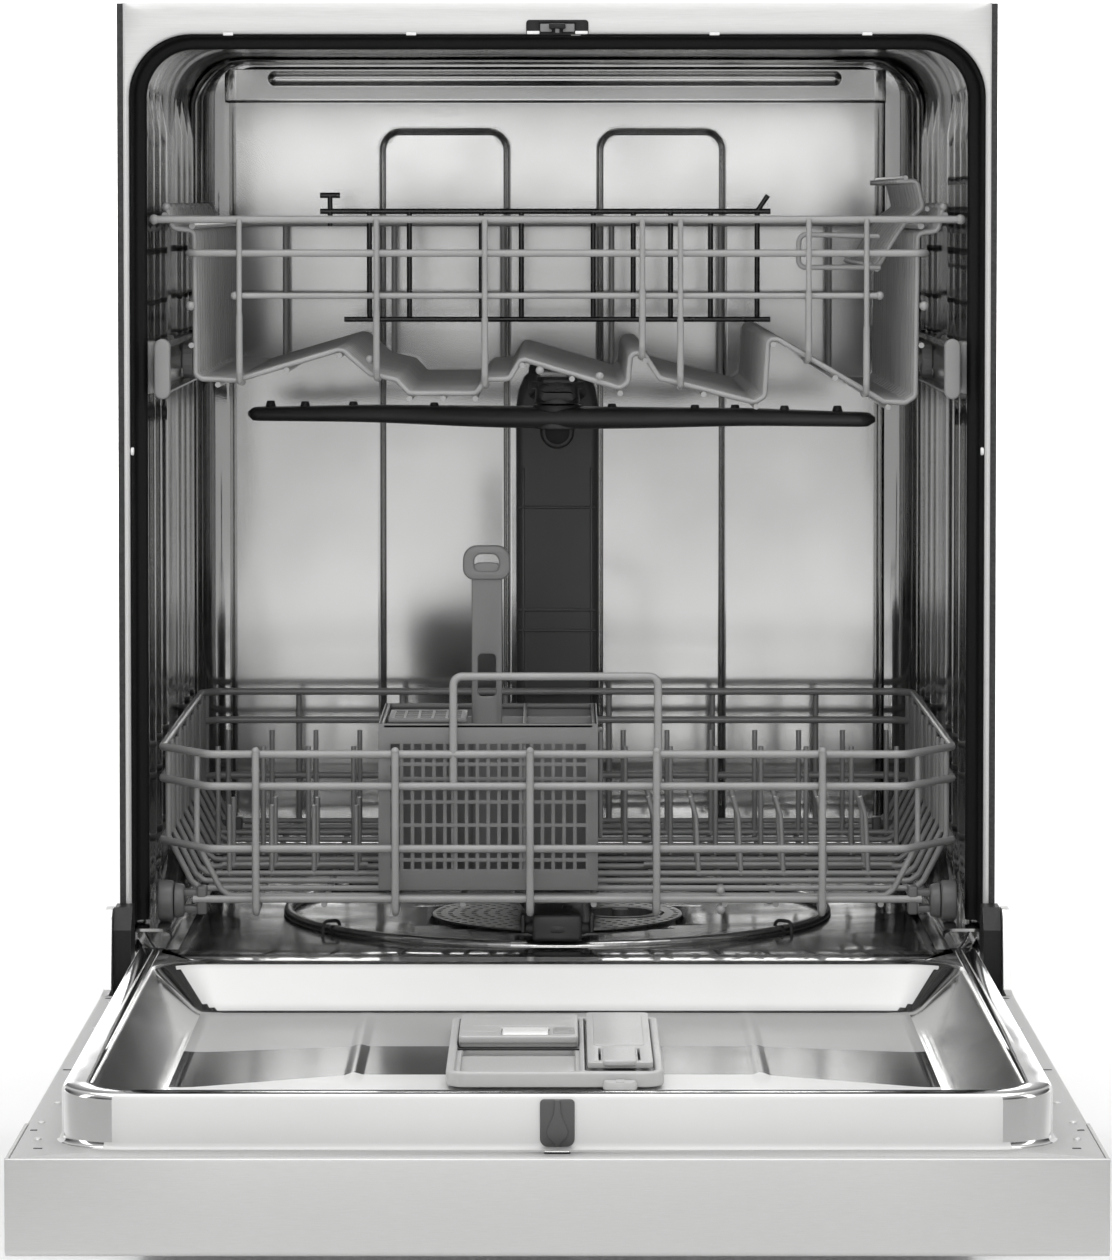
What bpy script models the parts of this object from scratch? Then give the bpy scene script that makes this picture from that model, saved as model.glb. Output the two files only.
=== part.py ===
"""Built-in dishwasher, door open, as an assembly of separate pieces.

Lengths are written in millimetres in the appliance's own frame: x across the
front (0 in the middle), y into the tub (0 on the tub's front flange), z up
from the floor.  The model is shifted back by OFF_Y so that the origin lies
under the middle of its bounding box, and scaled to metres.
"""

import math

import bmesh
import bpy
from mathutils import Matrix, Vector

MM = 0.001
OFF_Y = 65.0

# ---- driving dimensions, mm -------------------------------------------------
HALF_W = 297.1            # half width over the felt blanket
HEIGHT = 860.0            # floor to the top of the front flange
DEPTH = 570.0             # flange to the rear of the chassis
FLANGE_HALF = 292.3
TUB_IN = 284.0            # tub inner half width
TUB_OUT = 286.5
MOUTH_HALF = 289.8        # opening half width at the flange
MOUTH_TOP = 839.6
MOUTH_R = 43.0
TUB_BACK = 545.5
TUB_FLOOR = 204.0
GASKET_IN = 279.8
GASKET_TOP = 828.5
HINGE_Y = -21.0           # door hinge axis, parallel to x
HINGE_Z = 184.0
DOOR_HALF = 303.5
DOOR_END = -700.0
DOOR_FLANGE_Z = 201.5
DOOR_SKIN_Z = 147.0
PAN_HALF = 278.0
PAN_TOP = 232.0
PAN_FRONT = -670.0
FASCIA_Y = -586.0
WHEEL_R = 14.0
LEDGE_Z = 232.0
ARM_X, ARM_Y = 0.0, 275.0  # lower spray arm centre
MID_Y = 280.0              # middle spray arm centre
MID_TILT = 13.5            # degrees the middle arm is turned at rest
WIRE = 5.5

for obj in list(bpy.data.objects):
    bpy.data.objects.remove(obj, do_unlink=True)

scene = bpy.context.scene
scene.unit_settings.system = "METRIC"
scene.unit_settings.scale_length = 1.0

PARTS = bpy.data.collections.new("built_in_dishwasher")
CUTTERS = bpy.data.collections.new("cutters")
scene.collection.children.link(PARTS)
scene.collection.children.link(CUTTERS)
CUTTERS.hide_render = True


# ---- materials --------------------------------------------------------------
FINISH = {
    # slot: (colour, metallic, roughness)
    "tub_steel": ((0.78, 0.78, 0.77), 1.0, 0.22),
    "rail_steel": ((0.72, 0.72, 0.72), 1.0, 0.25),
    "fascia_steel": ((0.62, 0.62, 0.62), 1.0, 0.34),
    "galvanised": ((0.55, 0.56, 0.57), 1.0, 0.45),
    "arm_steel": ((0.66, 0.66, 0.66), 1.0, 0.35),
    "element_steel": ((0.42, 0.41, 0.40), 1.0, 0.4),
    "spring_steel": ((0.45, 0.45, 0.45), 1.0, 0.35),
    "gasket_rubber": ((0.015, 0.015, 0.016), 0.0, 0.7),
    "felt": ((0.03, 0.03, 0.03), 0.0, 0.95),
    "black_plastic": ((0.025, 0.025, 0.027), 0.0, 0.45),
    "dark_plastic": ((0.06, 0.062, 0.066), 0.0, 0.42),
    "mid_plastic": ((0.20, 0.20, 0.205), 0.0, 0.5),
    "light_plastic": ((0.46, 0.47, 0.47), 0.0, 0.42),
    "white_plastic": ((0.78, 0.78, 0.77), 0.0, 0.4),
    "coated_wire": ((0.42, 0.42, 0.425), 0.0, 0.42),
    "black_wire": ((0.03, 0.03, 0.032), 0.0, 0.42),
}


def material(name, slot):
    colour, metal, rough = FINISH[slot]
    mat = bpy.data.materials.new(name + "_mat")
    mat.use_nodes = True
    bsdf = mat.node_tree.nodes["Principled BSDF"]
    bsdf.inputs["Base Color"].default_value = (*colour, 1.0)
    bsdf.inputs["Metallic"].default_value = metal
    bsdf.inputs["Roughness"].default_value = rough
    mat.diffuse_color = (*colour, 1.0)
    return mat


# ---- shape helpers: each returns a bmesh in the appliance's millimetres -----
def box(x0, x1, y0, y1, z0, z1, bevel=0.0, seg=1):
    bm = bmesh.new()
    bmesh.ops.create_cube(bm, size=1.0)
    bmesh.ops.scale(bm, vec=(x1 - x0, y1 - y0, z1 - z0), verts=bm.verts)
    bmesh.ops.translate(
        bm, vec=((x0 + x1) / 2, (y0 + y1) / 2, (z0 + z1) / 2), verts=bm.verts
    )
    if bevel:
        bmesh.ops.bevel(
            bm, geom=list(bm.edges), offset=bevel, segments=seg,
            affect="EDGES", profile=0.5,
        )
    return bm


def cyl(p0, p1, r0, n=24, r1=None):
    p0, p1 = Vector(p0), Vector(p1)
    d = p1 - p0
    bm = bmesh.new()
    bmesh.ops.create_cone(
        bm, cap_ends=True, cap_tris=False, segments=n,
        radius1=r0, radius2=r0 if r1 is None else r1, depth=d.length,
    )
    turn = Vector((0, 0, 1)).rotation_difference(d.normalized()).to_matrix().to_4x4()
    bmesh.ops.transform(
        bm, matrix=Matrix.Translation((p0 + p1) / 2) @ turn, verts=bm.verts
    )
    return bm


def merge(*bms):
    """Several shapes that don't touch, as one bmesh."""
    out = bms[0]
    for other in bms[1:]:
        tmp = bpy.data.meshes.new("tmp")
        other.to_mesh(tmp)
        out.from_mesh(tmp)
        bpy.data.meshes.remove(tmp)
        other.free()
    return out


def curve_mesh(cu):
    obj = bpy.data.objects.new("curve_tmp", cu)
    scene.collection.objects.link(obj)
    bpy.context.view_layer.update()
    me = bpy.data.meshes.new_from_object(
        obj.evaluated_get(bpy.context.evaluated_depsgraph_get())
    )
    bpy.data.objects.remove(obj)
    bpy.data.curves.remove(cu)
    bm = bmesh.new()
    bm.from_mesh(me)
    bpy.data.meshes.remove(me)
    bmesh.ops.remove_doubles(bm, verts=bm.verts, dist=1e-3)
    bmesh.ops.recalc_face_normals(bm, faces=bm.faces)
    return bm


# u, v, w of the flat outline -> x, y, z
AXES = {
    "X": Matrix(((0, 0, 1, 0), (1, 0, 0, 0), (0, 1, 0, 0), (0, 0, 0, 1))),
    "Y": Matrix(((1, 0, 0, 0), (0, 0, -1, 0), (0, 1, 0, 0), (0, 0, 0, 1))),
    "Z": Matrix.Identity(4),
}


def prism(loops, axis, a0, a1):
    """Flat outline (and holes) pushed along an axis from a0 to a1.

    The outline is (y, z) for axis X, (x, z) for axis Y and (x, y) for axis Z.
    """
    cu = bpy.data.curves.new("outline", "CURVE")
    cu.dimensions = "2D"
    cu.fill_mode = "BOTH"
    cu.extrude = abs(a1 - a0) / 2
    for pts in loops:
        sp = cu.splines.new("POLY")
        sp.points.add(len(pts) - 1)
        for p, (u, v) in zip(sp.points, pts):
            p.co = (u, v, 0, 1)
        sp.use_cyclic_u = True
    bm = curve_mesh(cu)
    mid = (a0 + a1) / 2
    if axis == "Y":
        mid = -mid
    bmesh.ops.translate(bm, vec=(0, 0, mid), verts=bm.verts)
    bmesh.ops.transform(bm, matrix=AXES[axis], verts=bm.verts)
    return bm


def tube(pts, r, res=1, cyclic=False):
    cu = bpy.data.curves.new("wire", "CURVE")
    cu.dimensions = "3D"
    cu.bevel_depth = r
    cu.bevel_resolution = res
    cu.use_fill_caps = True
    sp = cu.splines.new("POLY")
    sp.points.add(len(pts) - 1)
    for p, co in zip(sp.points, pts):
        p.co = (*co, 1)
    sp.use_cyclic_u = cyclic
    return curve_mesh(cu)


def lathe(profile, centre, n=32):
    """Closed (r, z) profile turned about a vertical axis through centre."""
    bm = bmesh.new()
    vs = [bm.verts.new((r, 0, z)) for r, z in profile]
    es = [bm.edges.new((vs[i], vs[(i + 1) % len(vs)])) for i in range(len(vs))]
    bmesh.ops.spin(
        bm, geom=vs + es, cent=(0, 0, 0), axis=(0, 0, 1),
        angle=2 * math.pi, steps=n, use_merge=True,
    )
    bmesh.ops.remove_doubles(bm, verts=bm.verts, dist=1e-3)
    bmesh.ops.dissolve_degenerate(bm, dist=1e-4, edges=bm.edges)
    loose = [e for e in bm.edges if not e.link_faces]
    bmesh.ops.delete(bm, geom=loose, context="EDGES")
    bmesh.ops.recalc_face_normals(bm, faces=bm.faces)
    bmesh.ops.translate(bm, vec=centre, verts=bm.verts)
    return bm


def arc(cx, cz, r, a0, a1, n):
    return [
        (cx + r * math.cos(math.radians(a0 + (a1 - a0) * i / n)),
         cz + r * math.sin(math.radians(a0 + (a1 - a0) * i / n)))
        for i in range(n + 1)
    ]


def round_rect(x0, x1, z0, z1, r_low, r_high, n=6):
    out = []
    for cx, cz, r, a in (
        (x1 - r_high, z1 - r_high, r_high, 0),
        (x0 + r_high, z1 - r_high, r_high, 90),
        (x0 + r_low, z0 + r_low, r_low, 180),
        (x1 - r_low, z0 + r_low, r_low, 270),
    ):
        if r <= 0:
            out.append((cx, cz))
        else:
            out += arc(cx, cz, r, a, a + 90, n)
    return out


def outline_of(rects):
    """Outer and inner loops of a union of upright rectangles (u0, u1, v0, v1)."""
    us = sorted({round(c, 3) for r in rects for c in r[:2]})
    vs = sorted({round(c, 3) for r in rects for c in r[2:]})
    full = set()
    for i in range(len(us) - 1):
        for j in range(len(vs) - 1):
            cu, cv = (us[i] + us[i + 1]) / 2, (vs[j] + vs[j + 1]) / 2
            if any(r[0] < cu < r[1] and r[2] < cv < r[3] for r in rects):
                full.add((i, j))
    nxt = {}
    for i, j in full:
        for a, b, other in (
            ((i, j), (i + 1, j), (i, j - 1)),
            ((i + 1, j), (i + 1, j + 1), (i + 1, j)),
            ((i + 1, j + 1), (i, j + 1), (i, j + 1)),
            ((i, j + 1), (i, j), (i - 1, j)),
        ):
            if other not in full:
                nxt.setdefault(a, []).append(b)
    loops = []
    while nxt:
        start = min(nxt)
        loop, here = [], start
        while True:
            loop.append(here)
            to = nxt[here].pop()
            if not nxt[here]:
                del nxt[here]
            here = to
            if here == start:
                break
        keep = []
        for k, p in enumerate(loop):
            a, b = loop[k - 1], loop[(k + 1) % len(loop)]
            if (p[0] - a[0]) * (b[1] - p[1]) != (p[1] - a[1]) * (b[0] - p[0]):
                keep.append((us[p[0]], vs[p[1]]))
        loops.append(keep)
    return loops


def grille(rects, axis, a0, a1):
    return prism(outline_of(rects), axis, a0, a1)


def bars(axis_u, values, lo, hi, w=WIRE):
    """Rectangles of width w: upright at each u in values, or level if not axis_u."""
    if axis_u:
        return [(v - w / 2, v + w / 2, lo, hi) for v in values]
    return [(lo, hi, v - w / 2, v + w / 2) for v in values]


# ---- objects ----------------------------------------------------------------
def to_object(name, bm, pivot, collection, smooth):
    px, py, pz = pivot
    bmesh.ops.translate(bm, vec=(-px, -py, -pz), verts=bm.verts)
    bmesh.ops.scale(bm, vec=(MM, MM, MM), verts=bm.verts)
    me = bpy.data.meshes.new(name)
    bm.to_mesh(me)
    bm.free()
    me.polygons.foreach_set("use_smooth", [smooth] * len(me.polygons))
    if smooth:
        me.set_sharp_from_angle(angle=math.radians(35))
    obj = bpy.data.objects.new(name, me)
    obj.location = (px * MM, (py + OFF_Y) * MM, pz * MM)
    collection.objects.link(obj)
    return obj


def part(name, slot, base, ops=(), pivot=(0, 0, 0), smooth=True):
    """A node: a base shape, then Boolean (operation, shape) steps in turn."""
    obj = to_object(name, base, pivot, PARTS, smooth)
    obj.data.materials.append(material(name, slot))
    for i, (op, shape) in enumerate(ops):
        cut = to_object(f"{name}_{op.lower()}_{i}", shape, pivot, CUTTERS, smooth)
        cut.display_type = "WIRE"
        cut.hide_render = True
        mod = obj.modifiers.new(f"{op.lower()}_{i}", "BOOLEAN")
        mod.operation = op
        mod.solver = "EXACT"
        mod.object = cut
    return obj


CUT, ADD = "DIFFERENCE", "UNION"


def mirrored(bm):
    out = bm.copy()
    bmesh.ops.scale(out, vec=(-1, 1, 1), verts=out.verts)
    bmesh.ops.reverse_faces(out, faces=out.faces)
    return out


# =============================================================================
# Cabinet
# =============================================================================
ledges = merge(
    box(262, MOUTH_HALF + 1.5, 2, 520, 226, LEDGE_Z),
    box(-MOUTH_HALF - 1.5, -262, 2, 520, 226, LEDGE_Z),
)
carriers = merge(*[
    box(min(s * 276, s * 285.5), max(s * 276, s * 285.5), y, y + 26, 598, 626, 2.5)
    for s in (-1, 1) for y in (62, 230)
])
part(
    "tub_shell", "tub_steel",
    box(-FLANGE_HALF, FLANGE_HALF, 0, 2.4, 190, HEIGHT),
    [
        (ADD, prism([round_rect(-292.0, 292.0, 198, 842.4, 20, 45)], "Y", 1, 46.5)),
        (ADD, prism([round_rect(-TUB_OUT, TUB_OUT, 196, 841.5, 30, 46)], "Y", 44, 548)),
        (CUT, prism([round_rect(-MOUTH_HALF, MOUTH_HALF, 211.5, MOUTH_TOP, 12, MOUTH_R)],
                    "Y", -3, 44.2)),
        (CUT, prism([round_rect(-TUB_IN, TUB_IN, TUB_FLOOR, 838.5, 26, 40)],
                    "Y", 43, TUB_BACK)),
        (ADD, ledges),
        (ADD, carriers),
        (CUT, cyl((ARM_X, ARM_Y, 180), (ARM_X, ARM_Y, 215), 96, 40)),
    ],
)


def u_ring(half, top, r, inner_half, inner_top, inner_r, low):
    outer = [(half, low)] + arc(half - r, top - r, r, 0, 90, 8) \
        + arc(-half + r, top - r, r, 90, 180, 8) + [(-half, low)]
    inner = [(-inner_half, low)] \
        + arc(-inner_half + inner_r, inner_top - inner_r, inner_r, 180, 90, 8) \
        + arc(inner_half - inner_r, inner_top - inner_r, inner_r, 90, 0, 8) \
        + [(inner_half, low)]
    return [outer + inner]


part(
    "door_gasket", "gasket_rubber",
    prism(u_ring(289.4, 839.2, 42.6, 287.6, 837.6, 41, 234), "Y", 1, 34),
    [(ADD, prism(u_ring(289.4, 839.2, 42.6, GASKET_IN, GASKET_TOP, 33, 234),
                 "Y", 33, 43.7))],
)

part(
    "insulation_blanket", "felt",
    box(-HALF_W, HALF_W, 0, 562, 195, 859.7),
    [
        (CUT, box(-292.7, 292.7, -5, 557.5, 100, 855.4)),
        (CUT, box(-292.7, 292.7, -5, 2.9, 800, 900)),
    ],
    smooth=False,
)

LEGS = [("front_left", -262, 85), ("front_right", 262, 85),
        ("rear_left", -262, 520), ("rear_right", 262, 520)]
part(
    "base_frame", "galvanised",
    box(-289.5, 289.5, 52, DEPTH, 14, 194),
    [
        (CUT, box(-286.8, 286.8, 40, 567.4, 16.5, 200)),
        (CUT, box(-238, 238, 120, 480, 10, 20)),
        (CUT, box(-200, 200, 560, 580, 60, 160)),
        (ADD, box(286.8, 289.5, 2, 53, 14, 150)),
        (ADD, box(-289.5, -286.8, 2, 53, 14, 150)),
        (ADD, box(289.2, 301, 4, 14, 30, 37.6)),
        (ADD, box(-301, -289.2, 4, 14, 30, 37.6)),
    ] + [(CUT, cyl((x, y, 5), (x, y, 30), 6.6, 20)) for _, x, y in LEGS],
    smooth=False,
)

part(
    "toe_kick_panel", "black_plastic",
    prism([[(44, 20), (46.6, 20), (46.6, 139), (51.4, 139), (51.4, 142), (44, 142)]],
          "X", -285.5, 285.5),
    smooth=False,
)

part(
    "latch_striker", "black_plastic",
    box(-21, 21, -2.8, -0.4, 837.8, 848.5, 0.6),
    [
        (ADD, box(-5.5, 5.5, -13, -2, 842, 846)),
        (CUT, box(-2.5, 2.5, -11, -5, 840, 848)),
    ],
    smooth=False,
)


def hinge_bracket(s):
    base = prism([[(-30, 172), (-0.5, 172), (-0.5, 250), (-22, 250), (-34, 236),
                   (-34, 178)]], "X", 287, 298.8)
    pin = cyl((298, HINGE_Y, HINGE_Z), (304.2, HINGE_Y, HINGE_Z), 4.0, 24)
    if s < 0:
        base, pin = mirrored(base), mirrored(pin)
    return base, [(ADD, pin)]


for side, s in (("left", -1), ("right", 1)):
    b, ops = hinge_bracket(s)
    part(f"hinge_bracket_{side}", "black_plastic", b, ops)

part(
    "sump_housing", "mid_plastic",
    lathe([(0, 120), (82, 120), (82, 195), (94.5, 195), (94.5, 203.4), (79, 203.4),
           (79, 123), (11, 123), (11, 211.6), (0, 211.6)], (ARM_X, ARM_Y, 0), 28),
    [
        (ADD, cyl((78, ARM_Y - 30, 138), (118, ARM_Y - 30, 138), 14, 16)),
        (ADD, cyl((-78, ARM_Y + 20, 134), (-108, ARM_Y + 20, 134), 10, 16)),
    ],
)
part(
    "wash_pump_motor", "dark_plastic",
    cyl((118.6, ARM_Y - 30, 116), (152, ARM_Y - 30, 116), 44, 28),
    [
        (ADD, cyl((150, ARM_Y - 30, 116), (228, ARM_Y - 30, 116), 37, 28)),
        (ADD, box(160, 214, ARM_Y - 44, ARM_Y - 16, 60, 90, 3)),
        (ADD, cyl((226, ARM_Y - 30, 116), (240, ARM_Y - 30, 116), 12, 16)),
    ],
)
part(
    "drain_pump", "black_plastic",
    cyl((-108.6, ARM_Y + 20, 130), (-132, ARM_Y + 20, 130), 26, 24),
    [
        (ADD, box(-176, -131, ARM_Y, ARM_Y + 40, 110, 150, 4)),
        (ADD, cyl((-120, ARM_Y + 44, 134), (-120, ARM_Y + 82, 134), 8, 16)),
    ],
)
part(
    "water_inlet_valve", "white_plastic",
    box(-268, -228, 400, 430, 40, 86, 3),
    [
        (ADD, cyl((-248, 428, 63), (-248, 454, 63), 11, 20)),
        (ADD, cyl((-248, 402, 66), (-248, 382, 66), 7, 16)),
    ],
)

pts = []
for i in range(29):
    a = math.radians(90 + 12 + (360 - 24) * i / 28)
    pts.append((ARM_X + 196 * math.cos(a), ARM_Y + 196 * math.sin(a), 209.4))
pts = [(pts[0][0], pts[0][1] + 44, 209.4)] + pts + [(pts[-1][0], pts[-1][1] + 44, 209.4)]
part("heating_element", "element_steel", tube(pts, 3.9, 1))

part(
    "water_feed_column", "dark_plastic",
    box(-32, 32, 531, 545.1, 207, 595, 5, 2),
    [
        (ADD, box(-20, 20, 513, 536, 572, 604, 3)),
        (ADD, cyl((0, 526, 548), (0, 534, 548), 11, 24)),
    ],
)

for side, s in (("left", -1), ("right", 1)):
    coil = [(s * 298.2, 9, 38), (s * 298.2, 9, 46)]
    turns, per = 8, 7
    for i in range(turns * per + 1):
        a = 2 * math.pi * i / per
        coil.append((s * 298.2 + 4.4 * math.cos(a), 9 + 4.4 * math.sin(a),
                     48 + 100 * i / (turns * per)))
    coil += [(s * 298.2, 9, 150), (s * 298.2, 9, 163)]
    part(f"door_spring_{side}", "spring_steel", tube(coil, 0.9, 0),
         pivot=(s * 298.2, 9, 38))

for name, x, y in LEGS:
    part(
        f"leveling_leg_{name}", "black_plastic",
        cyl((x, y, 0), (x, y, 8), 19, 24, 15),
        [(ADD, cyl((x, y, 6), (x, y, 70), 6.0, 20))],
        pivot=(x, y, 0),
    )

FILTER_X = ARM_X + 46
part(
    "filter_cup", "mid_plastic",
    lathe([(0, 126), (27, 126), (27, 204), (31, 204), (31, 207.4), (24.5, 207.4),
           (24.5, 128.5), (6, 128.5), (6, 209.6), (0, 209.6)],
          (FILTER_X, ARM_Y, 0), 20),
    [(CUT, merge(*[box(FILTER_X - 40, FILTER_X + 40, ARM_Y + y, ARM_Y + y + 12, z, z + 24)
                   for y in (9,) for z in (136, 168)]))],
    pivot=(FILTER_X, ARM_Y, 166),
)


def spray_arm(length, width, tip, z0, z1, hub_r, hub_z0, hub_z1, centre, turn):
    """Two-bladed arm: a tapered hollow blade with a hub, turned about z."""
    h = length / 2
    plan = []
    for s in (1, -1):
        plan += [(s * hub_r * 0.9, -s * width / 2), (s * h * 0.75, -s * tip * 0.62),
                 (s * (h - 8), -s * tip / 2), (s * h, -s * tip * 0.2),
                 (s * h, s * tip * 0.2), (s * (h - 8), s * tip / 2),
                 (s * h * 0.75, s * tip * 0.62), (s * hub_r * 0.9, s * width / 2)]
    body = prism([plan], "Z", z0, z1)
    bmesh.ops.bevel(
        body,
        geom=[e for e in body.edges
              if abs(e.verts[0].co.z - e.verts[1].co.z) < 1e-3 and len(e.link_faces) == 2
              and abs(e.link_faces[0].normal.z - e.link_faces[1].normal.z) > 0.5],
        offset=3, segments=1, affect="EDGES",
    )
    hub = cyl((0, 0, hub_z0), (0, 0, hub_z1), hub_r, 20)
    jets = merge(*[
        cyl((s * h * f, 0, z1 - 1), (s * h * f, 0, z1 + 2.2), 5, 6, 3.5)
        for s in (1, -1) for f in (0.42, 0.64, 0.88)
    ])
    m = Matrix.Translation(centre) @ Matrix.Rotation(math.radians(turn), 4, "Z")
    for bm in (body, hub, jets):
        bmesh.ops.transform(bm, matrix=m, verts=bm.verts)
    return body, hub, jets


body, hub, jets = spray_arm(440, 60, 44, 215.5, 231, 26, 212.2, 234, (ARM_X, ARM_Y, 0), 90)
part("lower_spray_arm", "dark_plastic", body, [(ADD, hub), (ADD, jets)],
     pivot=(ARM_X, ARM_Y, 223))

# =============================================================================
# Upper rails and upper rack
# =============================================================================
for side, s in (("left", -1), ("right", 1)):
    sec = [(274.6, 596), (274.6, 628), (264, 628), (264, 626), (272.8, 626),
           (272.8, 598), (264, 598), (264, 596)]
    rail = prism([sec], "Y", 32, 500)
    cap = box(264, 275, 28.5, 38, 591.5, 632.5, 3)
    if s < 0:
        rail, cap = mirrored(rail), mirrored(cap)
    part(f"upper_rail_{side}", "rail_steel", rail, [(ADD, cap)])

U_TOP, U_MID, U_LOW = 714.0, 691.0, 662.0
verts_x = [-217, -123.4, -49.5, 58, 84, 171.5, 211]
rails_u = [
    tube([(-273, 36, U_TOP), (273, 36, U_TOP)], 2.9),
    tube([(-252, 36, U_MID), (252, 36, U_MID)], 2.9),
    tube([(-219, 36, U_LOW), (219, 36, U_LOW)], 2.5),
]
FLOOR_PROFILE = [
    (-244, 607), (-220, 605), (-149, 625.5), (-128, 607), (-100, 595.5), (-54, 595.5),
    (-36, 605), (-24, 618.5), (43, 598.5), (52, 623.5), (68, 605.5), (137, 589.5),
    (147, 632.5), (224, 589.5), (244, 590.5),
]


def floor_z(x):
    for (x0, z0), (x1, z1) in zip(FLOOR_PROFILE, FLOOR_PROFILE[1:]):
        if x0 <= x <= x1:
            return z0 + (z1 - z0) * (x - x0) / (x1 - x0)
    return 600.0


part(
    "upper_rack_front", "coated_wire", rails_u[0],
    [(ADD, rails_u[1]), (ADD, rails_u[2])]
    + [(ADD, tube([(x, 33.2, U_TOP + 2.2), (x, 33.2, floor_z(x) + 6)], 2.5))
       for x in verts_x],
)
rib_ys = [45.5 + i * 77.6 for i in range(7)]
top_line = [(x, z + 2.2) for x, z in FLOOR_PROFILE]
bot_line = [(x, z - 2.2) for x, z in reversed(FLOOR_PROFILE)]
slots = []
for y0, y1 in zip(rib_ys, rib_ys[1:]):
    for x0, x1 in ((-238, -154), (-148, -104), (-98, -30), (-24, 40), (58, 134),
                   (152, 238)):
        slots.append(box(x0, x1, y0 + 2.6, y1 - 2.6, 570, 660))
part(
    "upper_rack_floor", "coated_wire",
    prism([top_line + bot_line], "Y", 42.8, 514),
    [(CUT, merge(*slots))],
    smooth=False,
)
side_y = [45.5 + i * 77.6 for i in range(7)]
rects = bars(True, side_y, 604, 706, 4.5) + bars(False, [606.3, 655, 703.5], 43.2, 513.4, 5)
for side, s in (("left", -1), ("right", 1)):
    bm = grille(rects, "X", 245.6, 250.4)
    if s < 0:
        bm = mirrored(bm)
    part(f"upper_rack_side_{side}", "coated_wire", bm, smooth=False)
rects = bars(True, [-210, -126, -42, 42, 126, 210], 604, 702, 4.5) \
    + bars(False, [606.5, 655, 700], -249, 249, 5)
part("upper_rack_back", "coated_wire", grille(rects, "Y", 514.6, 519.4), smooth=False)

part(
    "upper_rack_manifold", "dark_plastic",
    box(-15, 15, 262, 511.8, 580.6, 595, 3),
    [
        (ADD, cyl((0, MID_Y, 579.4), (0, MID_Y, 594.6), 17, 24)),
        (ADD, box(-22, 22, 500, 512.4, 574, 602, 3)),
    ],
)
body, hub, jets = spray_arm(470, 40, 24, 563, 576, 20, 561, 578.7, (0, MID_Y, 0),
                            -MID_TILT)
part("mid_spray_arm", "dark_plastic", body, [(ADD, hub), (ADD, jets)],
     pivot=(0, MID_Y, 570))

# black fold-down tine row, standing behind the middle of the upper rack
tine_x = [-135, -105, -75, -45, -15, 15, 45, 75, 105, 135]
rects = bars(True, tine_x, 640, 716, 3.6) + bars(False, [640], -150, 150, 4.6) \
    + bars(False, [713.8], -150, 150, 4.6) + bars(True, [-147.7, 147.7], 640, 716, 4.6)
part("upper_rack_fold_tines", "black_wire", grille(rects, "Y", 397.7, 402.3),
     pivot=(0, 400, 640), smooth=False)

# cup shelf, folded up against the right side of the upper rack
rects = bars(True, [70 + i * 32 for i in range(11)], 676, 742, 3.6) \
    + bars(False, [676, 709, 740], 68, 392, 4.2)
part("upper_rack_cup_shelf", "coated_wire", grille(rects, "X", 236.6, 240.8),
     pivot=(238.7, 230, 676), smooth=False)

ROLL_U = [("front_left", -1, 270), ("front_right", 1, 270),
          ("rear_left", -1, 450), ("rear_right", 1, 450)]
for name, s, y in ROLL_U:
    part(
        f"upper_rack_roller_{name}", "light_plastic",
        cyl((s * 264.6, y, 612), (s * 271.6, y, 612), 13, 20),
        [(ADD, cyl((s * 251, y, 612), (s * 266, y, 612), 5, 10))],
        pivot=(s * 266, y, 612),
    )

# =============================================================================
# Lower rack
# =============================================================================
L_TOP, L_MID, L_LOW, L_BOT = 348.0, 326.0, 283.0, 249.0


def front_rail(z, r=2.75):
    return tube([(-274, 86, z), (-239, 34, z), (239, 34, z), (274, 86, z)], r)


handle = tube([(-71, 34, L_MID), (-71, 34, 396), (-66, 34, 401.5), (64, 34, 401.5),
               (69, 34, 396), (69, 34, L_MID)], 2.7)
part(
    "lower_rack_front", "coated_wire", front_rail(L_TOP),
    [(ADD, front_rail(L_MID)), (ADD, front_rail(L_LOW)), (ADD, handle)]
    + [(ADD, tube([(x, 30.8, L_TOP + 2.4), (x, 30.8, 243), (x, 36, 241.4)], 2.7))
       for x in (-206, -111, -18.7, 68, 181.5)],
)
rects = bars(True, [-258.6, -194, -129, -64.5, 0, 64.5, 129, 194, 258.6],
             38.6, 505, 4.4) \
    + bars(False, [41.2, 156, 271, 386, 502.4], -260.8, 260.8, 5)
part("lower_rack_floor", "coated_wire", grille(rects, "Z", 246.5, 251.5), smooth=False)
rects = bars(True, [92 + i * 68.4 for i in range(7)], 252.6, 350, 4.4) \
    + bars(False, [254.9, 283, 326, 347.4], 90, 505, 5)
for side, s in (("left", -1), ("right", 1)):
    bm = grille(rects, "X", 272.0, 277.0)
    if s < 0:
        bm = mirrored(bm)
    part(f"lower_rack_side_{side}", "coated_wire", bm, smooth=False)
rects = bars(True, [-210, -126, -42, 42, 126, 210], 252.6, 350, 4.4) \
    + bars(False, [254.9, 326, 347.4], -270, 270, 5)
part("lower_rack_back", "coated_wire", grille(rects, "Y", 505.8, 510.8), smooth=False)
tines = [-247 + 32.93 * i for i in range(16)]
tines = [t for t in tines if abs(t) < 256]
for name, y in (("middle", 262), ("rear", 382)):
    rects = bars(True, tines, 252.4, 330, 3.8) + bars(False, [254.4], -254, 254, 4)
    part(f"lower_rack_tines_{name}", "coated_wire", grille(rects, "Y", y - 2, y + 2),
         smooth=False)

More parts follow.
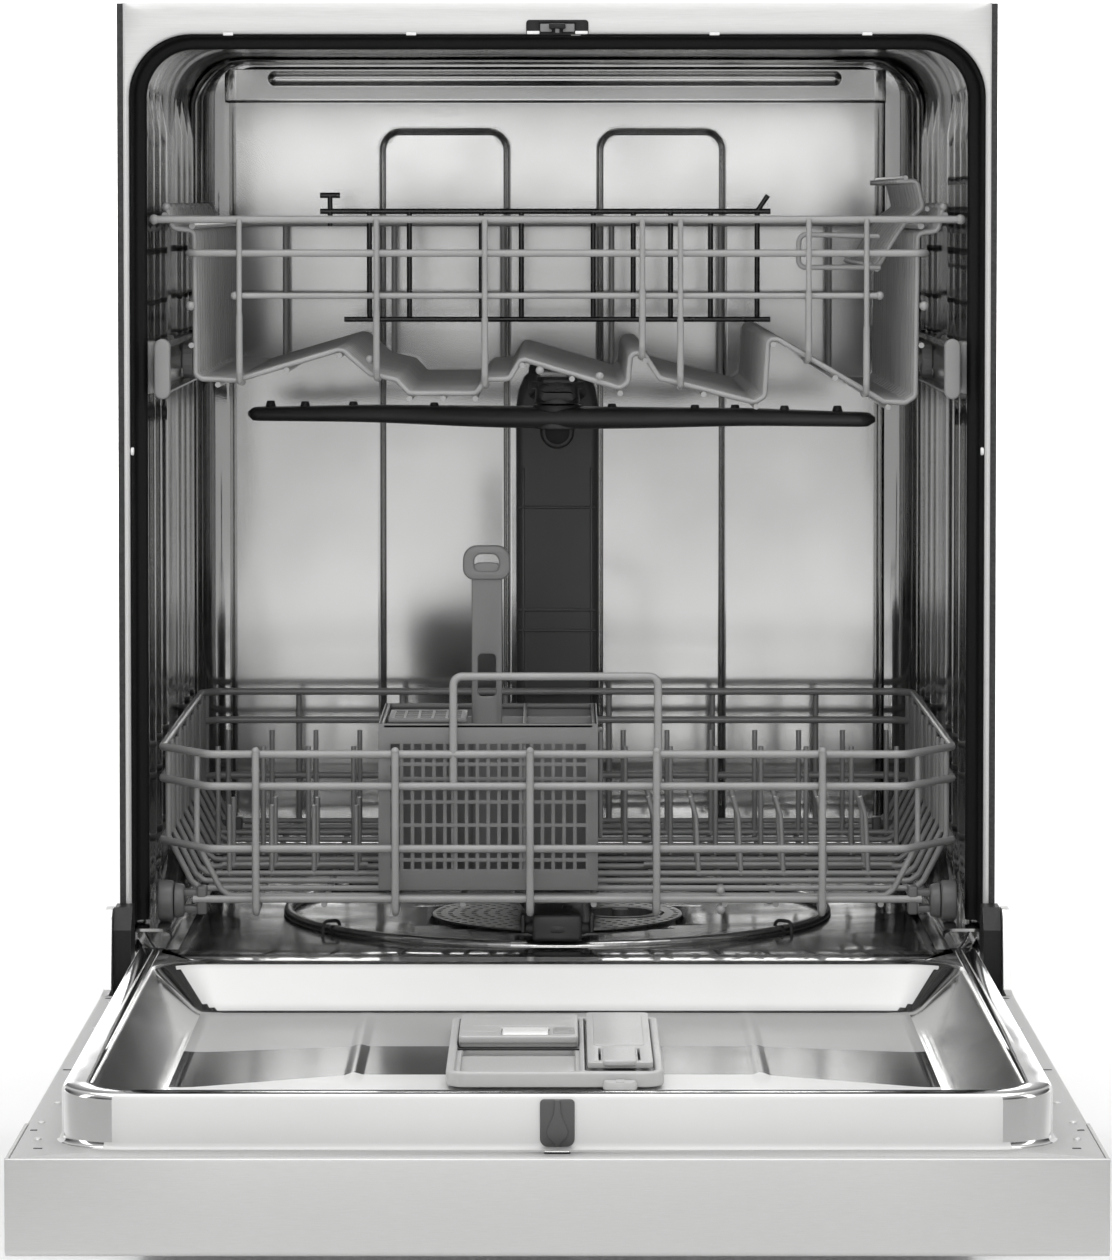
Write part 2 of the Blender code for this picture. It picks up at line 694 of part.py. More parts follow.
WHEELS = [("front_left", -1, 42.5), ("front_right", 1, 42.5),
          ("rear_left", -1, 455), ("rear_right", 1, 455)]
for name, s, y in WHEELS:
    out = 274.0 if y < 100 else 271.4
    z = LEDGE_Z + WHEEL_R + 0.3
    part(
        f"lower_rack_wheel_{name}", "mid_plastic",
        cyl((s * 263.4, y, z), (s * out, y, z), WHEEL_R, 22),
        [
            (CUT, cyl((s * (out - 3), y, z), (s * (out + 2), y, z), 10.5, 16)),
            (ADD, cyl((s * (out - 6), y, z), (s * (out - 1), y, z), 4, 12)),
        ],
        pivot=(s * 268, y, z),
    )

# cutlery basket: an open-topped box with grid walls, two partitions and a handle
BX0, BX1, BY0, BY1, BZ0, BZ1 = -123.0, 28.0, 44.0, 196.0, 253.2, 368.0
T = 2.6
cells = [BX0 + T + (BX1 - BX0 - 2 * T - 4) / 3 * i + 2 * i for i in range(4)]
cell = (BX1 - BX0 - 2 * T - 4) / 3
holes = merge(*[
    box(BX0 + T + i * (cell + 2), BX0 + T + i * (cell + 2) + cell,
        BY0 + T, BY1 - T, BZ0 + T, BZ1 + 10)
    for i in range(3)
])
zs = [262, 311]
front_win = merge(*[
    box(BX0 + 8 + i * 27.6, BX0 + 8 + i * 27.6 + 22.6, BY0 - 5, BY1 + 5, z, z + 44)
    for i in range(5) for z in zs
])
side_win = merge(*[
    box(BX0 - 5, BX1 + 5, BY0 + 10 + i * 46, BY0 + 10 + i * 46 + 38, z, z + 44)
    for i in range(3) for z in zs
])
grip = [(ADD, box(-58, -41, 116, 121, 254.2, 478)),
        (ADD, box(-66, -33, 114.5, 122.5, 474, 486, 3, 2))]
part("cutlery_basket", "mid_plastic", box(BX0, BX1, BY0, BY1, BZ0, BZ1, 2.0),
     [(CUT, holes), (CUT, front_win), (CUT, side_win)] + grip, smooth=False)

# =============================================================================
# Door (lying open)
# =============================================================================
door_pivot = (0, HINGE_Y, HINGE_Z)
flange_plan = [(-300.8, -697), (300.8, -697), (300.8, -91), (277, -91), (277, -13),
               (-277, -13), (-277, -91), (-300.8, -91)]
raised = [(-PAN_HALF + 40, PAN_FRONT)]
raised = arc(-PAN_HALF + 40, PAN_FRONT + 40, 40, 180, 270, 6) \
    + arc(PAN_HALF - 40, PAN_FRONT + 40, 40, 270, 360, 6) \
    + [(PAN_HALF, -90), (272, -85), (256, -85), (256, -115),
       (-256, -115), (-256, -85), (-272, -85), (-PAN_HALF, -90)]


def recess(grow, rear):
    h, f, r = 260 + grow, -652 - grow, 26 + grow
    return arc(-h + r, f + r, r, 180, 270, 6) + arc(h - r, f + r, r, 270, 360, 6) \
        + [(h, rear), (-h, rear)]


inset = arc(-PAN_HALF + 40, PAN_FRONT + 40, 38, 180, 270, 6) \
    + arc(PAN_HALF - 40, PAN_FRONT + 40, 38, 270, 360, 6) \
    + [(PAN_HALF - 2, -92), (262.5, -92), (262.5, -117), (-262.5, -117),
       (-262.5, -92), (-PAN_HALF + 2, -92)]
part(
    "inner_door_panel", "tub_steel",
    prism([flange_plan], "Z", 199.5, DOOR_FLANGE_Z),
    [
        (ADD, prism([raised], "Z", 199.5, PAN_TOP)),
        (CUT, prism([recess(0, -193)], "Z", 205, 240)),
        (CUT, prism([[(-193.5, 205), (-150, 231.9), (-150, 240), (-193.5, 240)]],
                    "X", -260, 260)),
        (CUT, prism([inset, recess(2, -148)], "Z", 190, 230)),
        (CUT, prism([recess(2.4, -194)], "Z", 190, 203)),
        (CUT, box(-7.5, 7.5, -684, -678, 190, 210)),
    ],
    pivot=door_pivot,
)

part(
    "outer_door_panel", "fascia_steel",
    prism([[(-303.2, -585.4), (303.2, -585.4), (303.2, -91.5), (284, -91.5),
            (284, -6), (-284, -6), (-284, -91.5), (-303.2, -91.5)]],
          "Z", DOOR_SKIN_Z, 198.6),
    [
        (CUT, prism([[(-301.2, -590), (301.2, -590), (301.2, -93.5), (282, -93.5),
                      (282, -8), (-282, -8), (-282, -93.5), (-301.2, -93.5)]],
                    "Z", 149.2, 210)),
    ],
    pivot=door_pivot,
    smooth=False,
)

BUTTONS = [("power", 178), ("start", 214)]
part(
    "control_fascia", "fascia_steel",
    box(-DOOR_HALF, DOOR_HALF, DOOR_END, -586, DOOR_SKIN_Z, 201.2, 1.2),
    [
        (CUT, box(-301.2, 301.2, -697.4, -580, 149.6, 215)),
        (ADD, box(-118, 118, -646, -596, 149, 172)),
        (CUT, box(-115, 115, -643, -599, 140, 169)),
    ] + [(CUT, box(x - 12.4, x + 12.4, -626.4, -613.6, 140, 155)) for _, x in BUTTONS],
    pivot=door_pivot,
    smooth=False,
)
for name, x in BUTTONS:
    part(f"button_{name}", "black_plastic",
         box(x - 12, x + 12, -626, -614, 146.2, 153, 0.8, 2), pivot=(x, -620, 150))


def hinge_arm(s):
    out = [(-90, 152), (-90, 196), (-48, 198), (-40, 246), (-34, 250), (-16, 250),
           (-10, 244), (-8, 196), (14, 180), (14, 170), (4, 166), (-20, 168), (-50, 152)]
    hole = [(HINGE_Y + 4.06 * math.cos(2 * math.pi * i / 24),
             HINGE_Z + 4.06 * math.sin(2 * math.pi * i / 24)) for i in range(24)]
    bm = prism([out, hole], "X", 299.4, 304.4)
    return mirrored(bm) if s < 0 else bm


for side, s in (("left", -1), ("right", 1)):
    part(f"hinge_arm_{side}", "arm_steel", hinge_arm(s), pivot=door_pivot, smooth=False)

part(
    "dispenser_housing", "light_plastic",
    prism([round_rect(-66, 63, -470, -254, 10, 10, 3)], "Z", 205.4, 213),
    [
        (CUT, box(-58, 11, -452, -350, 207, 220)),
        (CUT, box(17, 57, -462, -430, 209, 220)),
    ],
    pivot=door_pivot,
    smooth=False,
)
part("detergent_lid", "light_plastic", box(-61, 13.5, -343, -257, 213.4, 217.6, 1.2),
     pivot=(-23, -300, 215), smooth=False)
part("rinse_aid_lid", "light_plastic", box(17, 57, -424, -258, 213.4, 217.0, 1.0),
     pivot=(37, -258, 213.4), smooth=False)
part(
    "latch_guide", "mid_plastic",
    prism([round_rect(-9.5, 9.5, 202.2, 231, 1.5, 3, 2)], "Y", -672.4, -670.3),
    [(ADD, prism([[(-5.5, 206), (5.5, 206), (1.4, 216), (1.4, 226), (-1.4, 226),
                   (-1.4, 216)]], "Y", -673.4, -671.5))],
    pivot=door_pivot,
    smooth=False,
)
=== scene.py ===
import math
import random

import bmesh
import bpy
import numpy as np
from mathutils import Matrix, Vector


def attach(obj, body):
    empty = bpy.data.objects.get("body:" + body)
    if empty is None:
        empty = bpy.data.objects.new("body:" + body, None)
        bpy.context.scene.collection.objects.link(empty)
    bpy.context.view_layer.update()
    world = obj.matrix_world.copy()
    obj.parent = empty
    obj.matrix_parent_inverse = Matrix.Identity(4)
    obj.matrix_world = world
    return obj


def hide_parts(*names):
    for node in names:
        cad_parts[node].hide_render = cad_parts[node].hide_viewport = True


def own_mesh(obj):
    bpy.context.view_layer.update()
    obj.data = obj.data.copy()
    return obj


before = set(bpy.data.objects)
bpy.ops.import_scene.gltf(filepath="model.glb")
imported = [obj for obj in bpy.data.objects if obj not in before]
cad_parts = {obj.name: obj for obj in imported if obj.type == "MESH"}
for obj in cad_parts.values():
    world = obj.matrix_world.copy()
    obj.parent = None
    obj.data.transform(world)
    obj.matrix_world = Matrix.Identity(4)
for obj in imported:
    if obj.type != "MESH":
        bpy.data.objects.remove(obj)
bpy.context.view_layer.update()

# The same frame as the solids: x across, y into the tub from its front flange,
# z up, in millimetres; OY moves the tub's front to its place in the row frame.
MM = 0.001
OY = 65.0


# =============================================================================
# Mesh helpers, all in millimetres
# =============================================================================
def mesh_object(name, verts, faces, mat, smooth=True, sharp=None):
    me = bpy.data.meshes.new(name)
    v = [(x * MM, (y + OY) * MM, z * MM) for x, y, z in verts]
    me.from_pydata(v, [], faces)
    me.validate()
    bm = bmesh.new()
    bm.from_mesh(me)
    bmesh.ops.remove_doubles(bm, verts=bm.verts, dist=2e-6)
    bmesh.ops.dissolve_degenerate(bm, dist=1e-6, edges=bm.edges)
    bmesh.ops.recalc_face_normals(bm, faces=bm.faces)
    bm.to_mesh(me)
    bm.free()
    me.polygons.foreach_set("use_smooth", [smooth] * len(me.polygons))
    if smooth:
        me.set_sharp_from_angle(angle=math.radians(sharp or 38))
    obj = bpy.data.objects.new(name, me)
    bpy.context.scene.collection.objects.link(obj)
    if mat:
        me.materials.append(mat)
    return obj


def bm_object(name, bm, mat, smooth=True, sharp=None):
    bmesh.ops.transform(
        bm,
        matrix=Matrix.Scale(MM, 4) @ Matrix.Translation((0, OY, 0)),
        verts=bm.verts,
    )
    me = bpy.data.meshes.new(name)
    bm.to_mesh(me)
    bm.free()
    me.polygons.foreach_set("use_smooth", [smooth] * len(me.polygons))
    if smooth:
        me.set_sharp_from_angle(angle=math.radians(sharp or 38))
    obj = bpy.data.objects.new(name, me)
    bpy.context.scene.collection.objects.link(obj)
    if mat:
        me.materials.append(mat)
    return obj


def bevelled(obj, width, segments=2, angle=30):
    mod = obj.modifiers.new("edge", "BEVEL")
    mod.width = width * MM
    mod.segments = segments
    mod.limit_method = "ANGLE"
    mod.angle_limit = math.radians(angle)
    mod.harden_normals = False
    return obj


def box(x0, x1, y0, y1, z0, z1):
    bm = bmesh.new()
    bmesh.ops.create_cube(bm, size=1.0)
    bmesh.ops.scale(bm, vec=(x1 - x0, y1 - y0, z1 - z0), verts=bm.verts)
    bmesh.ops.translate(
        bm, vec=((x0 + x1) / 2, (y0 + y1) / 2, (z0 + z1) / 2), verts=bm.verts
    )
    return bm


def rbox(x0, x1, y0, y1, z0, z1, r=1.0, seg=3):
    bm = box(x0, x1, y0, y1, z0, z1)
    bmesh.ops.bevel(bm, geom=list(bm.edges), offset=r, segments=seg,
                    affect="EDGES", profile=0.5)
    return bm


def cyl(p0, p1, r0, n=32, r1=None, bevel=0.0, seg=2):
    p0, p1 = Vector(p0), Vector(p1)
    d = p1 - p0
    bm = bmesh.new()
    bmesh.ops.create_cone(bm, cap_ends=True, cap_tris=False, segments=n,
                          radius1=r0, radius2=r0 if r1 is None else r1,
                          depth=d.length)
    if bevel:
        rim = [e for e in bm.edges
               if abs(e.verts[0].co.z - e.verts[1].co.z) < 1e-6]
        bmesh.ops.bevel(bm, geom=rim, offset=bevel, segments=seg,
                        affect="EDGES", profile=0.5)
    turn = Vector((0, 0, 1)).rotation_difference(d.normalized())
    bmesh.ops.transform(
        bm, matrix=Matrix.Translation((p0 + p1) / 2) @ turn.to_matrix().to_4x4(),
        verts=bm.verts)
    return bm


def ball(c, r, n=12):
    bm = bmesh.new()
    bmesh.ops.create_uvsphere(bm, u_segments=n, v_segments=n // 2 + 1, radius=r)
    bmesh.ops.translate(bm, vec=c, verts=bm.verts)
    return bm


def merge(*bms):
    out = bms[0]
    for other in bms[1:]:
        tmp = bpy.data.meshes.new("tmp")
        other.to_mesh(tmp)
        out.from_mesh(tmp)
        bpy.data.meshes.remove(tmp)
        other.free()
    return out


def flip_x(bm):
    out = bm.copy()
    bmesh.ops.scale(out, vec=(-1, 1, 1), verts=out.verts)
    bmesh.ops.reverse_faces(out, faces=out.faces)
    return out


AXES = {
    "X": Matrix(((0, 0, 1, 0), (1, 0, 0, 0), (0, 1, 0, 0), (0, 0, 0, 1))),
    "Y": Matrix(((1, 0, 0, 0), (0, 0, -1, 0), (0, 1, 0, 0), (0, 0, 0, 1))),
    "Z": Matrix.Identity(4),
}


def plate(loops, axis, a0, a1, round_off=0.0, res=1):
    """Flat outlines with holes, given thickness along an axis, edges rounded."""
    cu = bpy.data.curves.new("outline", "CURVE")
    cu.dimensions = "2D"
    cu.fill_mode = "BOTH"
    cu.extrude = abs(a1 - a0) / 2 - round_off
    cu.bevel_depth = round_off
    cu.bevel_resolution = res
    cu.offset = -round_off
    for pts in loops:
        sp = cu.splines.new("POLY")
        sp.points.add(len(pts) - 1)
        for p, (u, v) in zip(sp.points, pts):
            p.co = (u, v, 0, 1)
        sp.use_cyclic_u = True
    tmp = bpy.data.objects.new("tmp", cu)
    bpy.context.scene.collection.objects.link(tmp)
    bpy.context.view_layer.update()
    me = bpy.data.meshes.new_from_object(
        tmp.evaluated_get(bpy.context.evaluated_depsgraph_get()))
    bpy.data.objects.remove(tmp)
    bpy.data.curves.remove(cu)
    bm = bmesh.new()
    bm.from_mesh(me)
    bpy.data.meshes.remove(me)
    bmesh.ops.remove_doubles(bm, verts=bm.verts, dist=1e-3)
    bmesh.ops.recalc_face_normals(bm, faces=bm.faces)
    mid = (a0 + a1) / 2
    bmesh.ops.translate(bm, vec=(0, 0, -mid if axis == "Y" else mid),
                        verts=bm.verts)
    bmesh.ops.transform(bm, matrix=AXES[axis], verts=bm.verts)
    return bm


def outline_of(rects):
    us = sorted({round(c, 3) for r in rects for c in r[:2]})
    vs = sorted({round(c, 3) for r in rects for c in r[2:]})
    full = set()
    for i in range(len(us) - 1):
        for j in range(len(vs) - 1):
            cu, cv = (us[i] + us[i + 1]) / 2, (vs[j] + vs[j + 1]) / 2
            if any(r[0] < cu < r[1] and r[2] < cv < r[3] for r in rects):
                full.add((i, j))
    nxt = {}
    for i, j in full:
        for a, b, other in (
            ((i, j), (i + 1, j), (i, j - 1)),
            ((i + 1, j), (i + 1, j + 1), (i + 1, j)),
            ((i + 1, j + 1), (i, j + 1), (i, j + 1)),
            ((i, j + 1), (i, j), (i - 1, j)),
        ):
            if other not in full:
                nxt.setdefault(a, []).append(b)
    loops = []
    while nxt:
        start = min(nxt)
        loop, here = [], start
        while True:
            loop.append(here)
            to = nxt[here].pop()
            if not nxt[here]:
                del nxt[here]
            here = to
            if here == start:
                break
        keep = []
        for k, p in enumerate(loop):
            a, b = loop[k - 1], loop[(k + 1) % len(loop)]
            if (p[0] - a[0]) * (b[1] - p[1]) != (p[1] - a[1]) * (b[0] - p[0]):
                keep.append((us[p[0]], vs[p[1]]))
        loops.append(keep)
    return loops


def arc(cx, cz, r, a0, a1, n):
    return [(cx + r * math.cos(math.radians(a0 + (a1 - a0) * i / n)),
             cz + r * math.sin(math.radians(a0 + (a1 - a0) * i / n)))
            for i in range(n + 1)]


def round_rect(x0, x1, z0, z1, r_low, r_high=None, n=10):
    r_high = r_low if r_high is None else r_high
    return (arc(x1 - r_high, z1 - r_high, r_high, 0, 90, n)
            + arc(x0 + r_high, z1 - r_high, r_high, 90, 180, n)
            + arc(x0 + r_low, z0 + r_low, r_low, 180, 270, n)
            + arc(x1 - r_low, z0 + r_low, r_low, 270, 360, n))


def loft(rows, closed=True, cap0=False, cap1=False):
    """Quads between rows of equal length; rows closed on themselves or open."""
    n = len(rows[0])
    verts = [p for row in rows for p in row]
    faces = []
    for k in range(len(rows) - 1):
        for i in range(n if closed else n - 1):
            j = (i + 1) % n
            faces.append((k * n + i, k * n + j, (k + 1) * n + j, (k + 1) * n + i))
    if cap0:
        faces.append(tuple(reversed(range(n))))
    if cap1:
        m = (len(rows) - 1) * n
        faces.append(tuple(range(m, m + n)))
    return verts, faces


def fillet(pts, r, n=5):
    """A polyline with its corners rounded to radius r where there is room."""
    pts = [Vector(p) for p in pts]
    out = [pts[0]]
    for a, b, c in zip(pts, pts[1:], pts[2:]):
        u, v = (a - b), (c - b)
        lu, lv = u.length, v.length
        if lu < 1e-6 or lv < 1e-6:
            continue
        u, v = u / lu, v / lv
        ang = math.acos(max(-1, min(1, u.dot(v))))
        if ang > math.radians(176) or r <= 0:
            out.append(b)
            continue
        t = min(r / math.tan(ang / 2), lu * 0.48, lv * 0.48)
        rr = t * math.tan(ang / 2)
        centre = b + (u + v).normalized() * (rr / math.sin(ang / 2))
        p0, p1 = b + u * t, b + v * t
        e0, e1 = p0 - centre, p1 - centre
        sweep = e0.angle(e1)
        ax = e0.cross(e1).normalized()
        for k in range(n + 1):
            out.append(centre + Matrix.Rotation(sweep * k / n, 3, ax) @ e0)
    out.append(pts[-1])
    return out


def wires(name, runs, mat, res=2, extra=None):
    """Round wires as one curve. Each run is (points, radius, bend radius)."""
    cu = bpy.data.curves.new(name, "CURVE")
    cu.dimensions = "3D"
    cu.bevel_depth = MM
    cu.bevel_resolution = res
    cu.use_fill_caps = True
    for run in runs:
        pts, r, bend = run[:3]
        cyc = len(run) > 3 and run[3]
        path = fillet(pts, bend)
        sp = cu.splines.new("POLY")
        sp.points.add(len(path) - 1)
        for p, co in zip(sp.points, path):
            p.co = (co[0] * MM, (co[1] + OY) * MM, co[2] * MM, 1)
            p.radius = r
        sp.use_cyclic_u = bool(cyc)
    cu.materials.append(mat)
    obj = bpy.data.objects.new(name, cu)
    bpy.context.scene.collection.objects.link(obj)
    return obj


def put(obj, body, slot, *nodes):
    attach(obj, body)
    if nodes:
        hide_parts(*nodes)
    return obj


# =============================================================================
# Materials
# =============================================================================
def new_material(name):
    mat = bpy.data.materials.new(name)
    mat.use_nodes = True
    nt = mat.node_tree
    nt.nodes.clear()
    out = nt.nodes.new("ShaderNodeOutputMaterial")
    bsdf = nt.nodes.new("ShaderNodeBsdfPrincipled")
    nt.links.new(bsdf.outputs[0], out.inputs[0])
    return mat, nt, bsdf


def coords(nt, scale=(1, 1, 1)):
    tc = nt.nodes.new("ShaderNodeTexCoord")
    mp = nt.nodes.new("ShaderNodeMapping")
    mp.inputs["Scale"].default_value = scale
    nt.links.new(tc.outputs["Object"], mp.inputs["Vector"])
    return mp.outputs[0]


def noise(nt, vec, scale, detail=3.0, rough=0.55):
    n = nt.nodes.new("ShaderNodeTexNoise")
    n.inputs["Scale"].default_value = scale
    n.inputs["Detail"].default_value = detail
    n.inputs["Roughness"].default_value = rough
    nt.links.new(vec, n.inputs["Vector"])
    return n.outputs["Fac"]


def ramp(nt, fac, lo, hi, p0=0.3, p1=0.7):
    r = nt.nodes.new("ShaderNodeMapRange")
    r.inputs["From Min"].default_value = p0
    r.inputs["From Max"].default_value = p1
    r.inputs["To Min"].default_value = lo
    r.inputs["To Max"].default_value = hi
    nt.links.new(fac, r.inputs["Value"])
    return r.outputs[0]


def mix_colour(nt, fac, a, b):
    m = nt.nodes.new("ShaderNodeMix")
    m.data_type = "RGBA"
    m.inputs["A"].default_value = (*a, 1)
    m.inputs["B"].default_value = (*b, 1)
    nt.links.new(fac, m.inputs["Factor"])
    return m.outputs["Result"]


def bump(nt, bsdf, height, strength, distance, base=None):
    b = nt.nodes.new("ShaderNodeBump")
    b.inputs["Strength"].default_value = strength
    b.inputs["Distance"].default_value = distance
    nt.links.new(height, b.inputs["Height"])
    if base:
        nt.links.new(base, b.inputs["Normal"])
    nt.links.new(b.outputs[0], bsdf.inputs["Normal"])
    return b.outputs[0]


def grey(v):
    return (v, v, v * 0.992)


def polished_steel(name, tone=0.80, lo=0.12, hi=0.24, wave=0.35, spec=1.0):
    """Drawn stainless sheet: mirror-like with faint haze and slight waves."""
    mat, nt, b = new_material(name)
    v = coords(nt)
    b.inputs["Metallic"].default_value = spec
    haze = noise(nt, v, 6.0, 4.0)
    fine = noise(nt, coords(nt, (1, 1, 1)), 900.0, 2.0)
    nt.links.new(mix_colour(nt, ramp(nt, haze, 0, 1), grey(tone * 0.94),
                            grey(min(1, tone * 1.04))), b.inputs["Base Color"])
    nt.links.new(ramp(nt, haze, lo, hi), b.inputs["Roughness"])
    n1 = bump(nt, b, noise(nt, coords(nt, (1, 1, 0.35)), 9.0, 1.5), wave, 0.006)
    bump(nt, b, fine, 0.06, 0.0002, n1)
    return mat


def brushed_steel(name, tone=0.62, rough=(0.26, 0.36), stretch=(1.5, 90, 90),
                  strength=0.16, metallic=1.0):
    """Stainless with a fine grain along its long direction."""
    mat, nt, b = new_material(name)
    b.inputs["Metallic"].default_value = metallic
    v = coords(nt, stretch)
    grain = noise(nt, v, 22.0, 5.0, 0.7)
    cloud = noise(nt, coords(nt), 3.0, 2.0)
    nt.links.new(mix_colour(nt, ramp(nt, grain, 0, 1), grey(tone * 0.93),
                            grey(min(1.0, tone * 1.05))), b.inputs["Base Color"])
    mul = nt.nodes.new("ShaderNodeMath")
    mul.operation = "ADD"
    nt.links.new(ramp(nt, grain, rough[0], rough[1]), mul.inputs[0])
    nt.links.new(ramp(nt, cloud, -0.02, 0.03), mul.inputs[1])
    nt.links.new(mul.outputs[0], b.inputs["Roughness"])
    bump(nt, b, grain, strength, 0.0002)
    return mat


def plastic(name, tone, rough=(0.36, 0.5), grain=700.0, strength=0.18, tint=None,
            spread=0.06):
    """Moulded plastic with a fine spark-eroded texture and slight tone drift."""
    mat, nt, b = new_material(name)
    base = tint or grey(tone)
    v = coords(nt)
    fine = noise(nt, v, grain, 3.0, 0.6)
    soft = noise(nt, v, 14.0, 3.0)
    lo = tuple(c * (1 - spread) for c in base)
    hi = tuple(min(1, c * (1 + spread)) for c in base)
    nt.links.new(mix_colour(nt, ramp(nt, soft, 0, 1), lo, hi),
                 b.inputs["Base Color"])
    nt.links.new(ramp(nt, fine, *rough), b.inputs["Roughness"])
    bump(nt, b, fine, strength, 0.00025)
    return mat


def coated_wire(name, tone, rough=(0.24, 0.4)):
    """Dipped nylon on wire: smooth, slightly uneven, with soft highlights."""
    mat, nt, b = new_material(name)
    v = coords(nt)
    dip = noise(nt, v, 28.0, 1.5)
    fine = noise(nt, v, 240.0, 1.0)
    nt.links.new(mix_colour(nt, ramp(nt, dip, 0, 1), grey(tone * 0.92),
                            grey(tone * 1.06)), b.inputs["Base Color"])
    nt.links.new(ramp(nt, fine, *rough), b.inputs["Roughness"])
    b.inputs["Coat Weight"].default_value = 0.3
    b.inputs["Coat Roughness"].default_value = 0.22
    bump(nt, b, dip, 0.08, 0.0006)
    return mat


def dull(mat, level):
    mat.node_tree.nodes["Principled BSDF"].inputs["Specular IOR Level"].default_value = level
    return mat


def felt_material(name):
    mat, nt, b = new_material(name)
    fib = noise(nt, coords(nt, (1, 1, 1)), 420.0, 6.0, 0.75)
    lump = noise(nt, coords(nt), 34.0, 4.0)
    nt.links.new(mix_colour(nt, ramp(nt, fib, 0, 1), grey(0.018), grey(0.055)),
                 b.inputs["Base Color"])
    b.inputs["Roughness"].default_value = 0.95
    b.inputs["Sheen Weight"].default_value = 0.25
    n1 = bump(nt, b, lump, 0.35, 0.002)
    bump(nt, b, fib, 0.6, 0.0008, n1)
    return mat


M = {
    # tub liner, back wall and door pan are one stainless steel; their tones are set part by part and face by face
    # below, brighter as painted light and darker as painted shade
    "tub": polished_steel("tub_stainless", 0.46, 0.06, 0.13, 0.30),
    # back wall: the tub's steel with a brighter tone, painted light
    "rearwall_painted_light": polished_steel("tub_rear_painted_light_stainless", 0.76, 0.10, 0.20, 0.30),
    "flange": brushed_steel("flange_stainless", 0.60, (0.42, 0.5), (2, 60, 60), 0.05, 0.55),
    "pan": polished_steel("door_pan_stainless", 0.74, 0.07, 0.14, 0.12),
    # door pan walls and rear slope: the pan's steel made pale and less metallic, painted light in place of its
    # reflections
    "panwall_painted_light": polished_steel("door_rim_painted_light_stainless", 0.72, 0.50, 0.58, 0.05, 0.3),
    "panrear_painted_light": polished_steel("door_rear_slope_painted_light_stainless", 0.62, 0.36, 0.44, 0.05, 0.4),
    # recess floor planes: the pan's steel darker at the rear and in the middle band as painted shade, pale at the
    # front as painted light
    "satin_painted_shade": polished_steel("door_floor_satin_painted_shade_stainless", 0.42, 0.34, 0.42, 0.06, 0.35),
    "satinfront_painted_light": polished_steel("door_front_satin_painted_light_stainless", 0.74, 0.34, 0.42, 0.06, 0.3),
    "band": polished_steel("door_band_painted_shade_stainless", 0.15, 0.16, 0.24, 0.10),
    "panflange": brushed_steel("door_flange_stainless", 0.42, (0.46, 0.54), (60, 2, 60), 0.05, 0.4),
    "fascia": brushed_steel("fascia_stainless", 0.52, (0.42, 0.52), (5, 160, 160), 0.25, 0.55),
    "skin": brushed_steel("door_skin_stainless", 0.55, (0.30, 0.40), (1.2, 110, 110), 0.2),
    "rail": brushed_steel("rail_stainless", 0.66, (0.16, 0.26), (70, 1.5, 70), 0.1),
    "arm_plate": brushed_steel("hinge_plate_steel", 0.66, (0.28, 0.4), (40, 40, 2), 0.15),
    "galv": brushed_steel("galvanised_sheet", 0.45, (0.38, 0.6), (9, 9, 9), 0.1),
    "element": brushed_steel("element_tube", 0.62, (0.16, 0.26), (30, 30, 30), 0.1),
    "spring": brushed_steel("spring_wire", 0.42, (0.25, 0.4), (30, 30, 30), 0.1),
    "mesh": brushed_steel("filter_mesh_steel", 0.42, (0.3, 0.42), (60, 60, 60), 0.3),
    "rubber": plastic("gasket_rubber", 0.002, (0.5, 0.7), 900.0, 0.2),
    "felt": felt_material("sound_felt"),
    "pad": plastic("damping_pad", 0.030, (0.6, 0.8), 300.0, 0.5),
    "tape": plastic("seam_tape", 0.10, (0.4, 0.6), 500.0, 0.25),
    "black": plastic("black_moulding", 0.004, (0.36, 0.5)),
    "dark": plastic("dark_grey_moulding", 0.034, (0.34, 0.48)),
    "mid": plastic("grey_moulding", 0.20, (0.36, 0.5)),
    "wheel": plastic("wheel_moulding", 0.12, (0.36, 0.5)),
    "column": plastic("column_moulding", 0.072, (0.3, 0.44)),
    "light": plastic("light_grey_moulding", 0.44, (0.28, 0.42), 800.0, 0.12),
    "cap": plastic("rail_cap_moulding", 0.30, (0.4, 0.55)),
    "white": plastic("white_moulding", 0.80, (0.25, 0.38), 800.0, 0.08),
    "wire": coated_wire("grey_dipped_wire", 0.34, (0.3, 0.36)),
    # near-black wire: grey rack wire darkened as painted shade
    "painted_shade_wire": coated_wire("grey_wire_painted_shade_dark", 0.008),
    "latch": plastic("latch_moulding", 0.085, (0.3, 0.42)),
    "clear": plastic("indicator_window", 0.88, (0.08, 0.14), 800.0, 0.05),
}

dull(M["rubber"], 0.25)
dull(M["black"], 0.35)

# =============================================================================
# Tub: front flange, mouth, walls, back wall, in one drawn shell
# =============================================================================
NC = 14


def contour(hw, zb, zt, rb, rt, y):
    """Rounded section of the tub at depth y, the same number of points always."""
    pts = (arc(hw - rt, zt - rt, rt, 0, 90, NC) + arc(-hw + rt, zt - rt, rt, 90, 180, NC)
           + arc(-hw + rb, zb + rb, rb, 180, 270, NC) + arc(hw - rb, zb + rb, rb, 270, 360, NC))
    out = []
    for k, (p, q) in enumerate(zip(pts, pts[1:] + pts[:1])):
        out.append((p[0], y, p[1]))
        if (k + 1) % (NC + 1) == 0:       # the straight runs get extra points
            for t in range(1, 24):
                f = t / 24
                out.append((p[0] + (q[0] - p[0]) * f, y, p[1] + (q[1] - p[1]) * f))
    return out


def rect_contour(hw, zb, zt, y):
    return contour(hw, zb, zt, 0.02, 0.02, y)


